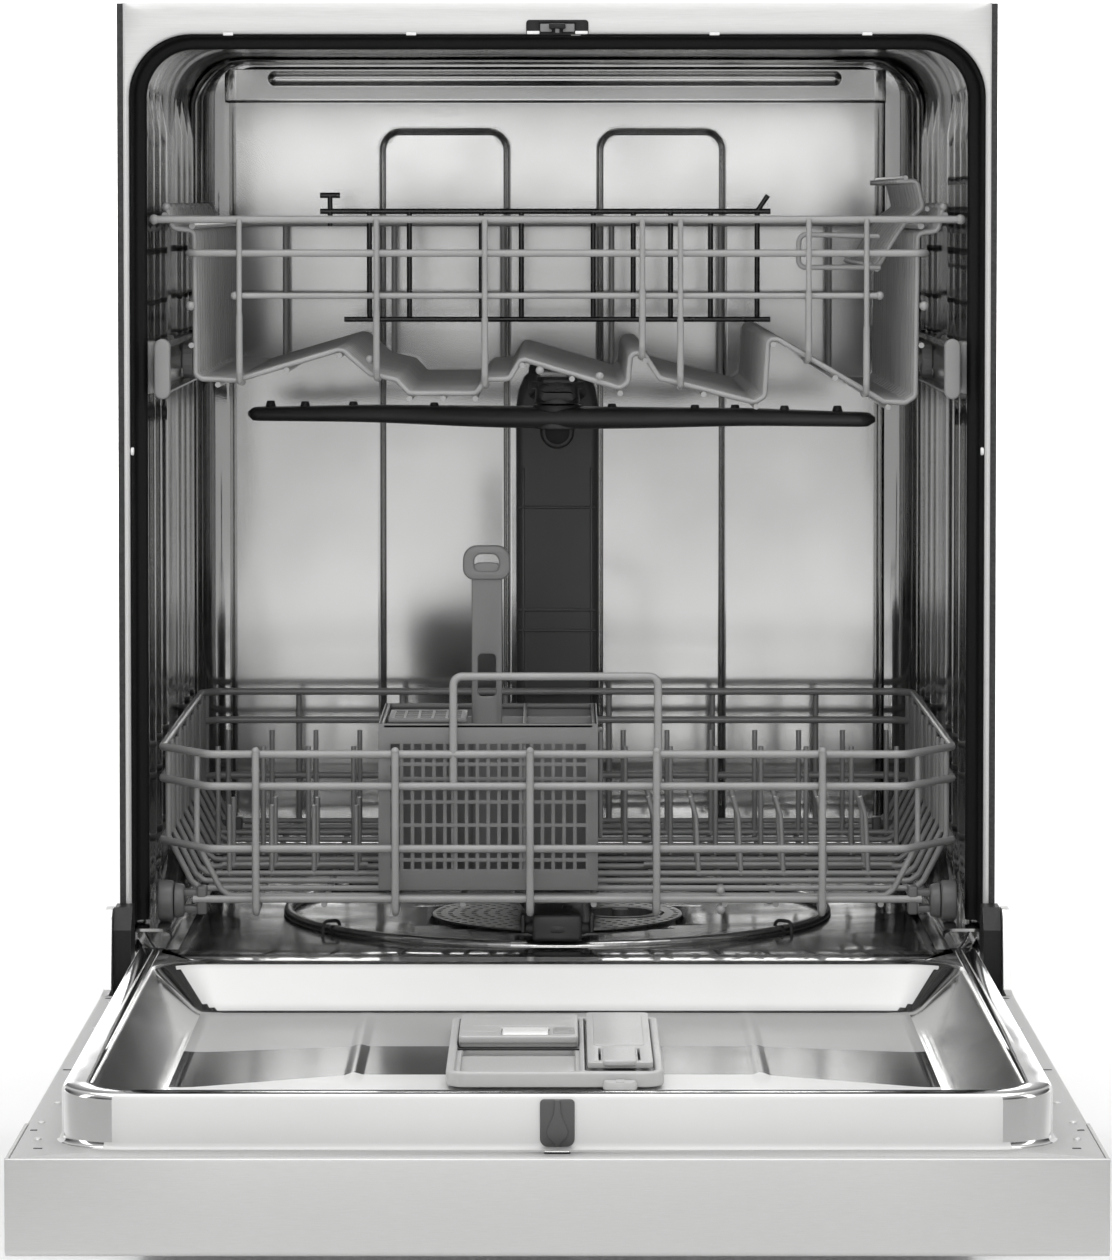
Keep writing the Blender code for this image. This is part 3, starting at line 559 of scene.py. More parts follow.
def shape_wall(row, y):
    """Pressed ribs in the side walls and a slight fall in the floor."""
    out = []
    for x, yy, z in row:
        if 236 < z < 800 and abs(x) > 280:
            rib = 0.0
            for c, w in ((96, 17), (150, 15), (214, 19), (372, 17), (430, 15), (492, 15)):
                t = (y - c) / w
                if abs(t) < 1:
                    rib += (1 - t * t) ** 2
            fade = min(1, (z - 236) / 24, (800 - z) / 24)
            x -= math.copysign(4.2 * rib * max(0, fade), x)

        if z < 206 and abs(x) < 262:
            d = math.hypot(x, y - 275)
            z += 5.5 * (1 - math.cos(math.pi * min(1, max(0, (d - 96) / 190)))) / 2
        out.append((x, yy, z))
    return out


rows = [
    rect_contour(292.3, 190, 860, 2.4),
    rect_contour(292.3, 190, 860, 0.35),
    rect_contour(292.0, 190.3, 859.7, 0.0),
    contour(291.3, 210.4, 841.2, 12, 44.5, 0.0),
]
for a in (18, 45, 72, 90):
    s, c = math.sin(math.radians(a)), math.cos(math.radians(a))
    rows.append(contour(289.8 + 1.5 * (1 - s), 211.9 - 1.5 * (1 - s), 839.6 + 1.5 * (1 - s),
                        12, 43 + 1.5 * (1 - s), 1.5 * (1 - c)))
rows += [contour(289.8, 211.5, 839.6, 12, 43, 43.9),
         contour(288.6, 210.0, 839.4, 14, 42, 44.6),
         contour(285.4, 205.2, 838.7, 24, 40.5, 44.9),
         contour(284.2, 204.2, 838.5, 26, 40, 46.2)]
for y in list(range(50, 514, 4)):
    rows.append(shape_wall(contour(284, 204, 838.5, 26, 40, y), y))
R_BACK, R_TOP = 30.0, 8.0
for a in list(range(6, 60, 6)) + list(range(60, 91, 3)):
    s, c = math.sin(math.radians(a)), math.cos(math.radians(a))
    inset = R_BACK * (1 - c)
    TUB_Y = 515.4 + R_BACK * s
    t = max(0.0, TUB_Y - (545.4 - R_TOP))
    drop = R_TOP - math.sqrt(max(0.0, R_TOP * R_TOP - t * t))
    rows.append(contour(284 - inset, 205 + inset * 0.9, 838.5 - drop,
                        max(3, 26 - inset * 0.6), max(12, 40 - inset * 0.7), TUB_Y))
verts, faces = loft(rows)
# the sump hole in the floor
keep = []
for f in faces:
    cx = sum(verts[i][0] for i in f) / 4
    cy = sum(verts[i][1] for i in f) / 4
    cz = sum(verts[i][2] for i in f) / 4
    if cz < 209 and math.hypot(cx, cy - 275) < 92:
        continue
    keep.append(f)
tub = mesh_object("tub_liner", verts, keep, M["tub"], sharp=60)
tub.data.materials.append(M["flange"])
for p in tub.data.polygons:
    if p.center.y < (OY + 1.0) * MM:
        p.material_index = 1
sol = tub.modifiers.new("gauge", "SOLIDIFY")
sol.thickness = 0.8 * MM
sol.offset = -1.0

# back wall with its two arched pressings and the bead along the top
def smooth_step(t):
    t = max(0.0, min(1.0, t))
    return t * t * (3 - 2 * t)


def rr_dist(x, z, x0, x1, z0, z1, r):
    """Signed distance to a rounded rectangle, negative inside."""
    cx, cz = (x0 + x1) / 2, (z0 + z1) / 2
    dx, dz = abs(x - cx) - (x1 - x0) / 2 + r, abs(z - cz) - (z1 - z0) / 2 + r
    return math.hypot(max(dx, 0), max(dz, 0)) + min(max(dx, dz), 0) - r


def back_wall(x, z):
    """How far the sheet stands out from the back plane, in mm."""
    h = 0.0
    for x0, x1 in ((-138, -37), (31, 130.5)):
        d = rr_dist(x, z, x0, x1, 150, 783.2, 17)
        h -= 4.6 * smooth_step((1.0 - d) / 6.0)                 # sunk inside a steep edge
    d = rr_dist(x, z, -222.5, 218.5, 818.0, 825.6, 3.8)
    h += 4.4 * smooth_step((2.0 - d) / 4.6)                     # long bead under the ceiling
    h += 1.6 * smooth_step((z - 803.0) / 2.4)                   # seam where the sheets lap
    return h


def axis_points(lo, hi, step, dense, fine=0.8, reach=5.0):
    pts = set(np.round(np.arange(lo, hi + 1e-6, step), 2))
    for d in dense:
        pts |= set(np.round(np.arange(d - reach, d + reach + 1e-6, fine), 2))
    return sorted(p for p in pts if lo <= p <= hi)


xs = axis_points(-258, 258, 9.0, (-138, -37, 31, 130.5, -222.5, 218.5), 0.9, 7)
xs = sorted(set(xs) | {round(v, 2) for c in (-121, -54, 48, 113.5) for v in np.arange(c - 14, c + 14.1, 2.0)})
zs = axis_points(231, 830.6, 14.0, (782.7, 804.2, 822), 0.7, 7)
zs = sorted(set(zs) | {round(v, 2) for v in np.arange(764, 784, 1.6)})
verts = [(x, TUB_Y - 0.02 - back_wall(x, z), z) for z in zs for x in xs]
faces = []
n = len(xs)
for j in range(len(zs) - 1):
    for i in range(n - 1):
        faces.append((j * n + i, j * n + i + 1, (j + 1) * n + i + 1, (j + 1) * n + i))
rear = mesh_object("tub_back_wall", verts, faces, M["rearwall_painted_light"], sharp=70)
sol = rear.modifiers.new("gauge", "SOLIDIFY")
sol.thickness = 0.8 * MM
sol.offset = -1.0
put(rear, "cabinet", "tub_steel")

put(tub, "cabinet", "tub_steel", "tub_shell")

# wheel ledges along both sides, with rolled edges
ledge = []
for s in (-1, 1):
    prof = [(289, 224.5), (289, 232), (268, 232), (264.5, 231.6), (262.6, 230.4),
            (262, 228.6), (262, 226), (263.4, 226), (264, 228.4), (266, 229.6), (270, 230), (287, 230), (287, 224.5)]
    rws = [[(s * a, y, b) for a, b in prof] for y in (4, 8, 44, 90, 200, 350, 480, 512, 520)]
    rws[-1] = [(s * max(a, 268), 524, b - 3) for a, b in prof]
    v, f = loft(rws, cap0=True, cap1=True)
    ledge.append((v, f))
v = ledge[0][0] + ledge[1][0]
f = ledge[0][1] + [tuple(i + len(ledge[0][0]) for i in q) for q in ledge[1][1]]
put(mesh_object("wheel_ledges", v, f, M["tub"], sharp=50), "cabinet", "tub_steel")

# rail carriers fixed to the side walls: small wheels on a plate
car = []
for s in (-1, 1):
    for y in (62, 230):
        car.append(rbox(min(s * 277.5, s * 284.5), max(s * 277.5, s * 284.5), y - 2, y + 28, 594, 630, 2.2))
        for dy in (6, 20):
            for z in (602, 622):
                car.append(cyl((s * 275.6, y + dy, z), (s * 279, y + dy, z), 5.2, 20, bevel=0.8))
put(bm_object("rail_carriers", merge(*car), M["light"]), "cabinet", "light_plastic")

# clips and screw heads that show along the mouth
dots = []
for x, z in ((-222, 838.6), (-98.5, 838.7), (12.5, 838.7), (106, 838.7), (209, 838.7)):
    dots.append(rbox(x - 3.4, x + 3.4, -0.9, 1.6, z - 0.6, z + 1.4, 0.4, 2))
put(bm_object("gasket_clips", merge(*dots), M["white"]), "cabinet", "white_plastic")
scr = []
for s in (-1, 1):
    scr.append(cyl((s * 286.6, 2.4, 557.2), (s * 288.8, 2.4, 557.2), 2.7, 20, bevel=0.6))
put(bm_object("side_screws", merge(*scr), M["white"]), "cabinet", "white_plastic")

# =============================================================================
# Gasket: a thin lining with a soft bulb that the door presses on
# =============================================================================
def u_path(half, top, r, low, n=18, straight=26):
    pts = [(half, low + (top - r - low) * i / straight) for i in range(straight)]
    pts += arc(half - r, top - r, r, 0, 90, n)
    w = half - r
    pts += [(w - 2 * w * i / straight, top) for i in range(1, straight)]
    pts += arc(-half + r, top - r, r, 90, 180, n)
    pts += [(-half, top - r - (top - r - low) * i / straight) for i in range(1, straight + 1)]
    return pts


# (inset from the opening's wall, y): outer face, then round the bulb and back
profile = [(0.3, 1.2), (0.3, 43.6)]
for a in range(100, -101, -20):
    profile.append((5.6 + 4.4 * math.cos(math.radians(a)), 38.6 + 5.0 * math.sin(math.radians(a))))
profile += [(3.6, 32.6), (2.6, 30.5), (2.1, 27), (1.9, 20), (2.3, 16), (2.3, 14), (1.9, 10),
            (1.9, 4.0), (1.5, 1.6), (0.9, 0.9)]
rows = []
for inset, y in profile:
    low = 234 if inset > 1 else 233.4
    rows.append([(x, y, z) for x, z in u_path(289.8 - inset, 839.6 - inset, 43 - inset, low)])
rows.append(rows[0])
v, f = loft(rows, closed=False)
gk = mesh_object("mouth_gasket", v, f, M["rubber"], sharp=50)
put(gk, "cabinet", "gasket_rubber", "door_gasket")

# =============================================================================
# Felt blanket, base frame and other carried-over solids get better surfaces
# =============================================================================
felt = rbox(-297.1, 297.1, 2.9, 562, 195, 859.7, 3.0, 2)
CARRY = {
    "insulation_blanket": "felt", "base_frame": "galv", "toe_kick_panel": "black",
    "wash_pump_motor": "dark", "drain_pump": "black", "water_inlet_valve": "white",
    "sump_housing": "mid", "filter_cup": "mid",
    "leveling_leg_front_left": "black", "leveling_leg_front_right": "black",
    "leveling_leg_rear_left": "black", "leveling_leg_rear_right": "black",
    "hinge_arm_left": "arm_plate", "hinge_arm_right": "arm_plate",
    "hinge_bracket_left": "black", "hinge_bracket_right": "black",
    "button_power": "black", "button_start": "black",
    "outer_door_panel": "skin",
    "upper_rack_roller_front_left": "light", "upper_rack_roller_front_right": "light",
    "upper_rack_roller_rear_left": "light", "upper_rack_roller_rear_right": "light",
}
felt.free()
for node, key in CARRY.items():
    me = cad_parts[node].data
    me.materials.clear()
    me.materials.append(M[key])

# springs as smooth coils
for side, s in (("left", -1), ("right", 1)):
    pts = [(s * 298.2, 9, 38.5), (s * 298.2, 9, 44)]
    turns, per = 13, 14
    for i in range(turns * per + 1):
        a = 2 * math.pi * i / per
        g = min(1, i / per, (turns * per - i) / per)
        pts.append((s * 298.2 + 4.3 * g * math.cos(a), 9 + 4.3 * g * math.sin(a),
                    46 + 104 * i / (turns * per)))
    pts += [(s * 298.2, 9, 153), (s * 298.2, 9, 162.5)]
    sp = wires(f"spring_coil_{side}", [(pts, 0.95, 0)], M["spring"], 1)
    me = bpy.data.meshes.new_from_object(
        sp.evaluated_get(bpy.context.evaluated_depsgraph_get()))
    bpy.data.objects.remove(sp)
    sp = bpy.data.objects.new(f"spring_coil_{side}", me)
    bpy.context.scene.collection.objects.link(sp)
    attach(sp, "cabinet")
    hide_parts(f"door_spring_{side}")
    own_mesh(sp)

# =============================================================================
# Outside of the sound felt: damping pads with rolled edges, and taped seams
# =============================================================================
pads, tapes = [], []
X0 = 297.1
for s in (-1, 1):
    for ya, yb, za, zb in ((26, 262, 470, 812), (290, 532, 470, 812), (26, 262, 228, 440),
                           (290, 532, 228, 440)):
        a, b = sorted((s * (X0 - 1.0), s * (X0 + 1.0)))
        pads.append(plate([round_rect(ya, yb, za, zb, 14, 14, 8)], "X", a, b, 0.7, 3))
    a, b = sorted((s * (X0 - 0.6), s * (X0 + 0.35)))
    tapes.append(rbox(a, b, 254, 298, 197, 857, 0.3, 2))
    a, b = sorted((s * (X0 - 0.6), s * (X0 + 0.45)))
    tapes.append(rbox(a, b, 6, 560, 446, 464, 0.3, 2))
for xa, xb, za, zb in ((-272, -16, 470, 812), (16, 272, 470, 812), (-272, -16, 228, 440),
                       (16, 272, 228, 440)):
    pads.append(plate([round_rect(xa, xb, za, zb, 14, 14, 8)], "Y", 561.0, 563.4, 0.9, 3))
tapes.append(rbox(-300, 300, 561.4, 562.45, 446, 464, 0.3, 2))
tapes.append(rbox(-9, 9, 561.4, 562.35, 197, 857, 0.3, 2))
for xa, xb, ya, yb in ((-272, -16, 30, 532), (16, 272, 30, 532)):
    pads.append(plate([round_rect(xa, xb, ya, yb, 14, 14, 8)], "Z", 859.0, 860.4, 0.6, 3))
tapes.append(rbox(-9, 9, 6, 560, 859.2, 859.95, 0.2, 2))
put(bm_object("damping_pads", merge(*pads), M["pad"]), "cabinet", "felt")
put(bm_object("felt_tapes", merge(*tapes), M["tape"]), "cabinet", "felt")

# =============================================================================
# Striker in the top of the opening
# =============================================================================
stk = plate([round_rect(-21, 21, 838.4, 848.5, 1.0, 2.2, 4),
             round_rect(-12.2, -3.0, 839.6, 846.6, 0.8, 0.8, 3),
             round_rect(3.0, 12.2, 839.6, 846.6, 0.8, 0.8, 3)], "Y", -2.4, -0.3, 0.5)
stk = merge(stk, rbox(-20, 20, -0.9, -0.2, 838.8, 848, 0.2),
            rbox(-5.5, -2.4, -12.6, -2, 842.2, 845.8, 0.7),
            rbox(2.4, 5.5, -12.6, -2, 842.2, 845.8, 0.7),
            rbox(-5.5, 5.5, -13, -10.2, 842.2, 845.8, 0.7))
put(bm_object("striker_block", stk, M["black"]), "cabinet", "black_plastic", "latch_striker")
put(bm_object("striker_springs", merge(
    rbox(-11.6, -3.8, -2.2, -0.8, 840.4, 845.8, 0.5), rbox(3.8, 11.6, -2.2, -0.8, 840.4, 845.8, 0.5),
    rbox(-1.4, 1.4, -2.5, -1.9, 839.8, 845.8, 0.2)), M["mid"]), "cabinet", "mid_plastic")
tabs = []
for s in (-1, 1):
    tabs.append(rbox(min(s * 12, s * 20.6), max(s * 12, s * 20.6), -2.7, -1.4, 838.8, 841.0, 0.5))
put(bm_object("striker_tabs", merge(*tabs), M["white"]), "cabinet", "white_plastic")

# =============================================================================
# Water column on the back wall
# =============================================================================
def rr_rows(specs):
    rws = []
    for z, x0, x1, y0, y1, r in specs:
        rws.append([(a, b, z) for a, b in round_rect(x0, x1, y0, y1, r, r, 6)])
    return rws


specs = [(207, -32, 32, 531, 545, 6), (300, -32, 32, 531, 545, 6), (300.6, -31, 31, 532, 545, 5),
         (302.4, -31, 31, 532, 545, 5), (303, -32, 32, 531, 545, 6),
         (520, -32, 32, 531, 545, 6), (534, -32, 32, 529.5, 545, 6), (566, -32, 32, 529.5, 545, 6),
         (580, -30, 30, 531, 545, 7), (590, -26, 26, 533, 545, 6), (595, -21, 21, 536, 545, 4)]
v, f = loft(rr_rows(specs), cap0=True, cap1=True)
put(mesh_object("water_column", v, f, M["column"], sharp=40), "cabinet", "dark_plastic",
    "water_feed_column")
bits = [cyl((0, 532, 548), (0, 525, 548), 14, 40, 12, 1.0),
        rbox(-20, 20, 513, 534, 573, 603, 3.2)]
for z in (392, 408, 488):
    bits.append(rbox(-30, 30, 529.6, 532, z, z + 2.2, 0.7))
for x in (-27.5, 25.5):
    bits.append(rbox(x, x + 2, 529.6, 532, 240, 520, 0.6))
put(bm_object("water_column_fittings", merge(*bits), M["column"]), "cabinet", "dark_plastic")
put(bm_object("water_column_port", cyl((0, 525.6, 548), (0, 524.4, 548), 9.6, 32, bevel=0.4),
              M["black"]), "cabinet", "black_plastic")

# =============================================================================
# Heating element with its clips
# =============================================================================
pts = []
for i in range(73):
    a = math.radians(90 + 12 + (360 - 24) * i / 72)
    pts.append((196 * math.cos(a), 275 + 196 * math.sin(a), 209.6))
pts = [(pts[0][0], pts[0][1] + 43, 209.6)] + pts + [(pts[-1][0], pts[-1][1] + 43, 209.6)]
put(wires("element_loop", [(pts, 3.9, 8)], M["element"], 3), "cabinet", "element_steel",
    "heating_element")
clips = []
for ang in (215, 325, 145, 35):
    a = math.radians(ang)
    cx, cy = 196 * math.cos(a), 275 + 196 * math.sin(a)
    tx, ty = -math.sin(a), math.cos(a)
    nx, ny = math.cos(a), math.sin(a)
    loop = [(cx - nx * 7, cy - ny * 7, 205), (cx - nx * 7, cy - ny * 7, 216),
            (cx + nx * 7, cy + ny * 7, 216), (cx + nx * 7, cy + ny * 7, 205)]
    clips.append((loop, 1.3, 4))
put(wires("element_clips", clips, M["dark"], 2), "cabinet", "rail_steel")

# perforated steel plate over the sump, with the filter cup's and post's holes
def disc(cx, cy, r, n):
    return [(cx + r * math.cos(2 * math.pi * k / n), cy + r * math.sin(2 * math.pi * k / n))
            for k in range(n)]


loops = [disc(0, 275, 91, 64), disc(46, 275, 32.4, 36), disc(0, 275, 12.2, 24)]
for ring in range(9):
    r = 18 + 8.6 * ring
    n = int(2 * math.pi * r / 9.2)
    for k in range(n):
        a = 2 * math.pi * k / n
        hx, hy = r * math.cos(a), 275 + r * math.sin(a)
        if math.hypot(hx - 46, hy - 275) > 37:
            loops.append(disc(hx, hy, 2.3, 8))
put(bm_object("filter_plate", plate(loops, "Z", 205.6, 206.8, 0.0), M["mesh"]), "cabinet",
    "rail_steel")

# =============================================================================
# Spray arms
# =============================================================================
def arm_mesh(length, hub_r, w_mid, w_tip, z0, z1, droop=0.0, n=84, sec=18):
    """A hollow blade: width, height and lift change along its length."""
    h = length / 2
    rws = []
    for k in range(n + 1):
        t = -1 + 2 * k / n
        s = abs(t)
        end = math.sqrt(max(0.0, 1 - max(0.0, (s - 0.965) / 0.035) ** 2))
        w = (w_tip + (w_mid - w_tip) * smooth_step(1 - s / 0.55)) * max(0.06, end)
        zt = z1 - 2.2 * smooth_step((s - 0.55) / 0.45)
        zb = z0 + 3.2 * smooth_step((s - 0.1) / 0.6)
        mid, hh = (zt + zb) / 2, (zt - zb) / 2 * max(0.3, end)
        row = []
        for j in range(sec):
            a = 2 * math.pi * j / sec
            cx, cz = math.cos(a), math.sin(a)
            row.append((t * h, w / 2 * math.copysign(abs(cx) ** 0.62, cx),
                        mid + hh * math.copysign(abs(cz) ** 0.7, cz)))
        rws.append(row)
    return rws


def place(rows_or_pts, centre, turn):
    m = Matrix.Translation(centre) @ Matrix.Rotation(math.radians(turn), 4, "Z")
    return [[tuple(m @ Vector(p)) for p in row] for row in rows_or_pts]


def jets_for(length, z, spots, r=4.2, tall=3.4):
    out = []
    for t, side in spots:
        x, y = t * length / 2, side
        out.append(cyl((x, y, z - 2), (x, y, z + tall), r, 20, r * 0.62, 0.5))
    return out


CM = (0, 280, 0)
rws = place(arm_mesh(470, 20, 40, 26, 561.2, 577.2), CM, -13.5)
v, f = loft(rws, cap0=True, cap1=True)
put(mesh_object("mid_arm_blade", v, f, M["dark"], sharp=60), "mid_spray_arm", "dark_plastic",
    "mid_spray_arm")
spots = [(-0.93, 3), (-0.81, -3), (-0.66, 3), (-0.39, -4), (0.17, 4), (0.44, -4), (0.56, 3),
         (0.72, -3), (0.88, 3)]
m = Matrix.Translation(CM) @ Matrix.Rotation(math.radians(-13.5), 4, "Z")
jb = merge(*jets_for(470, 575.4, spots, 4.4, 4.0))
bmesh.ops.transform(jb, matrix=m, verts=jb.verts)
hub = merge(cyl((0, 280, 561.2), (0, 280, 578.4), 19, 40, 18, 1.0),
            cyl((0, 280, 576.5), (0, 280, 578.7), 13, 36, bevel=0.5))
put(bm_object("mid_arm_jets", merge(jb, hub), M["dark"]), "mid_spray_arm", "dark_plastic")

CL = (0, 275, 0)
rws = place(arm_mesh(440, 26, 62, 46, 215.4, 232), CL, 90)
v, f = loft(rws, cap0=True, cap1=True)
put(mesh_object("lower_arm_blade", v, f, M["dark"], sharp=60), "lower_spray_arm",
    "dark_plastic", "lower_spray_arm")
m = Matrix.Translation(CL) @ Matrix.Rotation(math.radians(90), 4, "Z")
jb = merge(*jets_for(440, 230.6, [(-0.9, 6), (-0.72, -7), (-0.5, 8), (-0.3, -6), (0.3, 6),
                                  (0.5, -8), (0.72, 7), (0.9, -6)], 5.0, 2.6))
bmesh.ops.transform(jb, matrix=m, verts=jb.verts)
hub = merge(cyl((0, 275, 212.2), (0, 275, 233.8), 25, 40, 22, 1.2),
            cyl((0, 275, 232.5), (0, 275, 235.2), 12, 32, 9, 0.6))
# the raised nose and finger tabs at each end of the arm
nose = []
for s in (-1, 1):
    y = 275 + s * 205
    nose.append(rbox(-17, 17, min(y, y + s * 14), max(y, y + s * 14), 216, 234.4, 2.4))
    for x in (-25.2, 22.2):
        nose.append(rbox(x, x + 3, min(y - s * 4, y + s * 8), max(y - s * 4, y + s * 8), 221, 233.8, 1.1))
put(bm_object("lower_arm_jets", merge(jb, hub, *nose), M["dark"]), "lower_spray_arm",
    "dark_plastic")

# duct under the upper rack that feeds the middle arm
rws = []
for y, w, z0, z1 in ((263, 9, 584, 592), (264.5, 13, 581.6, 594), (268, 15, 580.7, 595),
                     (470, 15, 580.7, 595), (492, 17, 579.6, 597), (500, 22, 574.4, 601.8),
                     (511.8, 22, 574.2, 602)):
    rws.append([(a, y, b) for a, b in round_rect(-w, w, z0, z1, 4.5, 4.5, 6)])
v, f = loft(rws, cap0=True, cap1=True)
put(mesh_object("rack_duct", v, f, M["dark"], sharp=40), "upper_rack", "dark_plastic",
    "upper_rack_manifold")
put(bm_object("rack_duct_hub", merge(
    cyl((0, 280, 579.4), (0, 280, 599), 16.6, 40, 15, 1.0),
    cyl((0, 280, 590), (0, 280, 595.4), 19, 8, bevel=1.0),
    rbox(-11, 11, 262, 298, 594, 598, 1.4)), M["dark"]), "upper_rack", "dark_plastic")

# =============================================================================
# Upper rails
# =============================================================================
for side, s in (("left", -1), ("right", 1)):
    prof = [(274.6, 597.6), (274.0, 596.2), (272.6, 596), (264, 596), (264, 597.2), (272.2, 597.4),
            (273.2, 598.6), (273.2, 604), (272.2, 606), (272.2, 618), (273.2, 620),
            (273.2, 625.4), (272.2, 626.6), (264, 626.8), (264, 628), (272.6, 628),
            (274.0, 627.8), (274.6, 626.4), (274.6, 620), (273.6, 618), (273.6, 606),
            (274.6, 604)]
    rws = [[(s * a, y, b) for a, b in prof] for y in (34, 120, 250, 380, 500)]
    v, f = loft(rws, cap0=True, cap1=True)
    put(mesh_object(f"rail_channel_{side}", v, f, M["rail"], sharp=35),
        f"upper_rail_{side}", "rail_steel", f"upper_rail_{side}")
    capb = plate([round_rect(264.2, 275, 591.5, 632.5, 5.2, 5.2, 6)], "Y", 28.6, 38, 1.4, 2)
    if s < 0:
        capb = flip_x(capb)
    put(bm_object(f"rail_cap_{side}", capb, M["cap"]), f"upper_rail_{side}", "mid_plastic")

# =============================================================================
# Upper rack
# =============================================================================
PROFILE = [
    (-267, 722), (-263, 708), (-248, 706.4), (-247.4, 607.5), (-243, 605), (-220, 604), (-150.5, 624.6), (-146, 624),
    (-128, 608.5), (-110, 604.5), (-101, 595), (-56, 595), (-48, 604.6), (-33, 605),
    (-25.5, 617.4), (-22, 618), (43, 598.6), (48.4, 603), (50.2, 622.6), (59, 622.4),
    (70, 605.6), (135, 588.9), (141.8, 593), (144.4, 632), (151, 632), (224, 589.2),
    (238.5, 588.8), (245.0, 593.4), (246.2, 704.6), (260, 706.4), (263.6, 722),
]


def floor_z(x):
    z = 600
    for (x0, z0), (x1, z1) in zip(PROFILE[3:], PROFILE[4:-3]):
        if x0 <= x <= x1 and x1 > x0:
            z = z0 + (z1 - z0) * (x - x0) / (x1 - x0)
    return z


runs = []
for i in range(19):
    y = 44 + 26.0 * i
    runs.append(([(x, y, z) for x, z in PROFILE], 1.9, 4.5))
# front rails
runs.append(([(-275, 36, 714), (275, 36, 714)], 2.6, 0))
runs.append(([(-247.6, 514, 690), (-252, 500, 691), (-252, 44, 691), (-248, 36, 691),
              (248, 36, 691), (252, 44, 691), (252, 500, 691), (247.6, 514, 690)], 2.5, 9))
runs.append(([(-220, 36.5, 662), (220, 36.5, 662)], 2.1, 0))
for x in (-217, -123.4, -49.5, 58, 84, 171.5, 211):
    z = floor_z(x)
    runs.append(([(x, 33.4, 714), (x, 33.4, z + 40)], 1.9, 0))
    runs.append(([(x, 33.2, z + 44), (x, 33.2, z + 5), (x, 37, z - 1.6), (x, 62, z - 2.6)], 2.3, 3.5))
# top frame: side and rear rails
runs.append(([(-249.4, 40, 709.5), (-249.4, 515, 709.5), (248.4, 515, 709.5), (248.4, 40, 709.5)],
             2.3, 12))
for x0, zz in ((-250.2, 655), (249.2, 655), (-250, 628), (248.8, 628)):
    runs.append(([(x0, 38, zz), (x0, 516, zz)], 2.0, 0))
for x0 in (-268.4, 265):
    runs.append(([(x0, 40, 717), (x0, 514, 717)], 1.9, 0))
# lengthwise wires under the ribs
for x in (-232, -185, -149, -101, -78, -56, -24, 10, 43, 60, 100, 136, 147.6, 190, 226):
    z = floor_z(x) - 3.4
    runs.append(([(x, 38, z), (x, 516, z)], 2.0, 0))
# rear uprights
for x in (-210, -126, -42, 42, 126, 210):
    runs.append(([(x, 517.4, 711), (x, 517.4, floor_z(x) - 3)], 2.1, 0))
runs.append(([(-246, 517.4, 655), (246, 517.4, 655)], 2.0, 0))
put(wires("upper_basket_wires", runs, M["wire"], 2), "upper_rack", "coated_wire",
    "upper_rack_front", "upper_rack_floor", "upper_rack_side_left", "upper_rack_side_right",
    "upper_rack_back")
beads = [ball((s * 275, 36, 714), 3.5) for s in (-1, 1)]
beads += [ball((s * 220, 36.5, 662), 3.0) for s in (-1, 1)]
beads += [ball((s * 250.4, 37.4, 655), 3.2) for s in (-1, 1)]
for i in range(0, 19, 2):
    beads.append(ball((-267.2, 44 + 26 * i, 722.4), 2.9))
    beads.append(ball((263.8, 44 + 26 * i, 722.4), 2.9))
for x, z in ((-128, 618.5), (-12, 611), (29, 607)):
    beads.append(ball((x, 37, z), 2.9))
for x in (-217, -123.4, -49.5, 58, 84, 171.5, 211):
    beads.append(ball((x, 62, floor_z(x) - 2.6), 2.7))
put(bm_object("upper_basket_tips", merge(*beads), M["wire"]), "upper_rack", "coated_wire")

# roller carriers on the rack's sides
plates = []
for s in (-1, 1):
    loops = [round_rect(250, 292, 596, 640, 9, 9, 6)]
    pl = plate([[(y + 0, z) for y, z in round_rect(240, 480, 598, 626, 9, 9, 6)]], "X",
               min(s * 252.4, s * 256.4), max(s * 252.4, s * 256.4), 1.2)
    plates.append(pl)
    for y in (270, 450):
        plates.append(cyl((s * 251.4, y, 612), (s * 258.4, y, 612), 9, 28, bevel=0.8))
put(bm_object("roller_carriers", merge(*plates), M["light"]), "upper_rack", "light_plastic")

# folding tines in the middle, grey wire drawn near-black as painted shade
runs = [([(-178, 400, 719), (160, 400, 719)], 2.1, 0),
        ([(-160, 400, 638), (160, 400, 638)], 2.0, 0),
        ([(-170.5, 400, 708), (-170.5, 400, 731)], 1.9, 0),
        ([(-178, 400, 731), (-163, 400, 731)], 2.1, 0),
        ([(150, 400, 719), (158, 400, 731)], 1.9, 0)]
for x in (-141, -111, -57, -27, 27, 57, 85, 115, 150):
    runs.append(([(x, 400, 640), (x, 400, 718)], 2.0, 0))
put(wires("fold_tine_wires", runs, M["painted_shade_wire"], 2), "fold_tines", "black_wire",
    "upper_rack_fold_tines")

# cup shelf folded up against the right side
runs = []
for i in range(11):
    y = 70 + 32 * i
    runs.append(([(234, y, 740.2), (247.6, y, 740.2), (251.6, y, 722), (240.4, y, 713), (229.6, y, 697),
                  (223, y, 685), (219, y, 680.4), (214.8, y, 683.4)], 1.8, 4.0))
for x, z in ((240.6, 743.4), (255.4, 722), (221.0, 680.6)):
    runs.append(([(x - 1, 66, z - 1.0), (x - 1, 394, z - 1.0)], 1.7, 0))
put(wires("cup_shelf_wires", runs, M["wire"], 2), "cup_shelf", "coated_wire",
    "upper_rack_cup_shelf")
put(wires("cup_shelf_stay", [([(221, 60, 702.4), (166, 60, 703.6), (165.6, 60, 681), (222, 60, 681)],
                              1.8, 5)], M["wire"], 2), "upper_rack", "coated_wire")

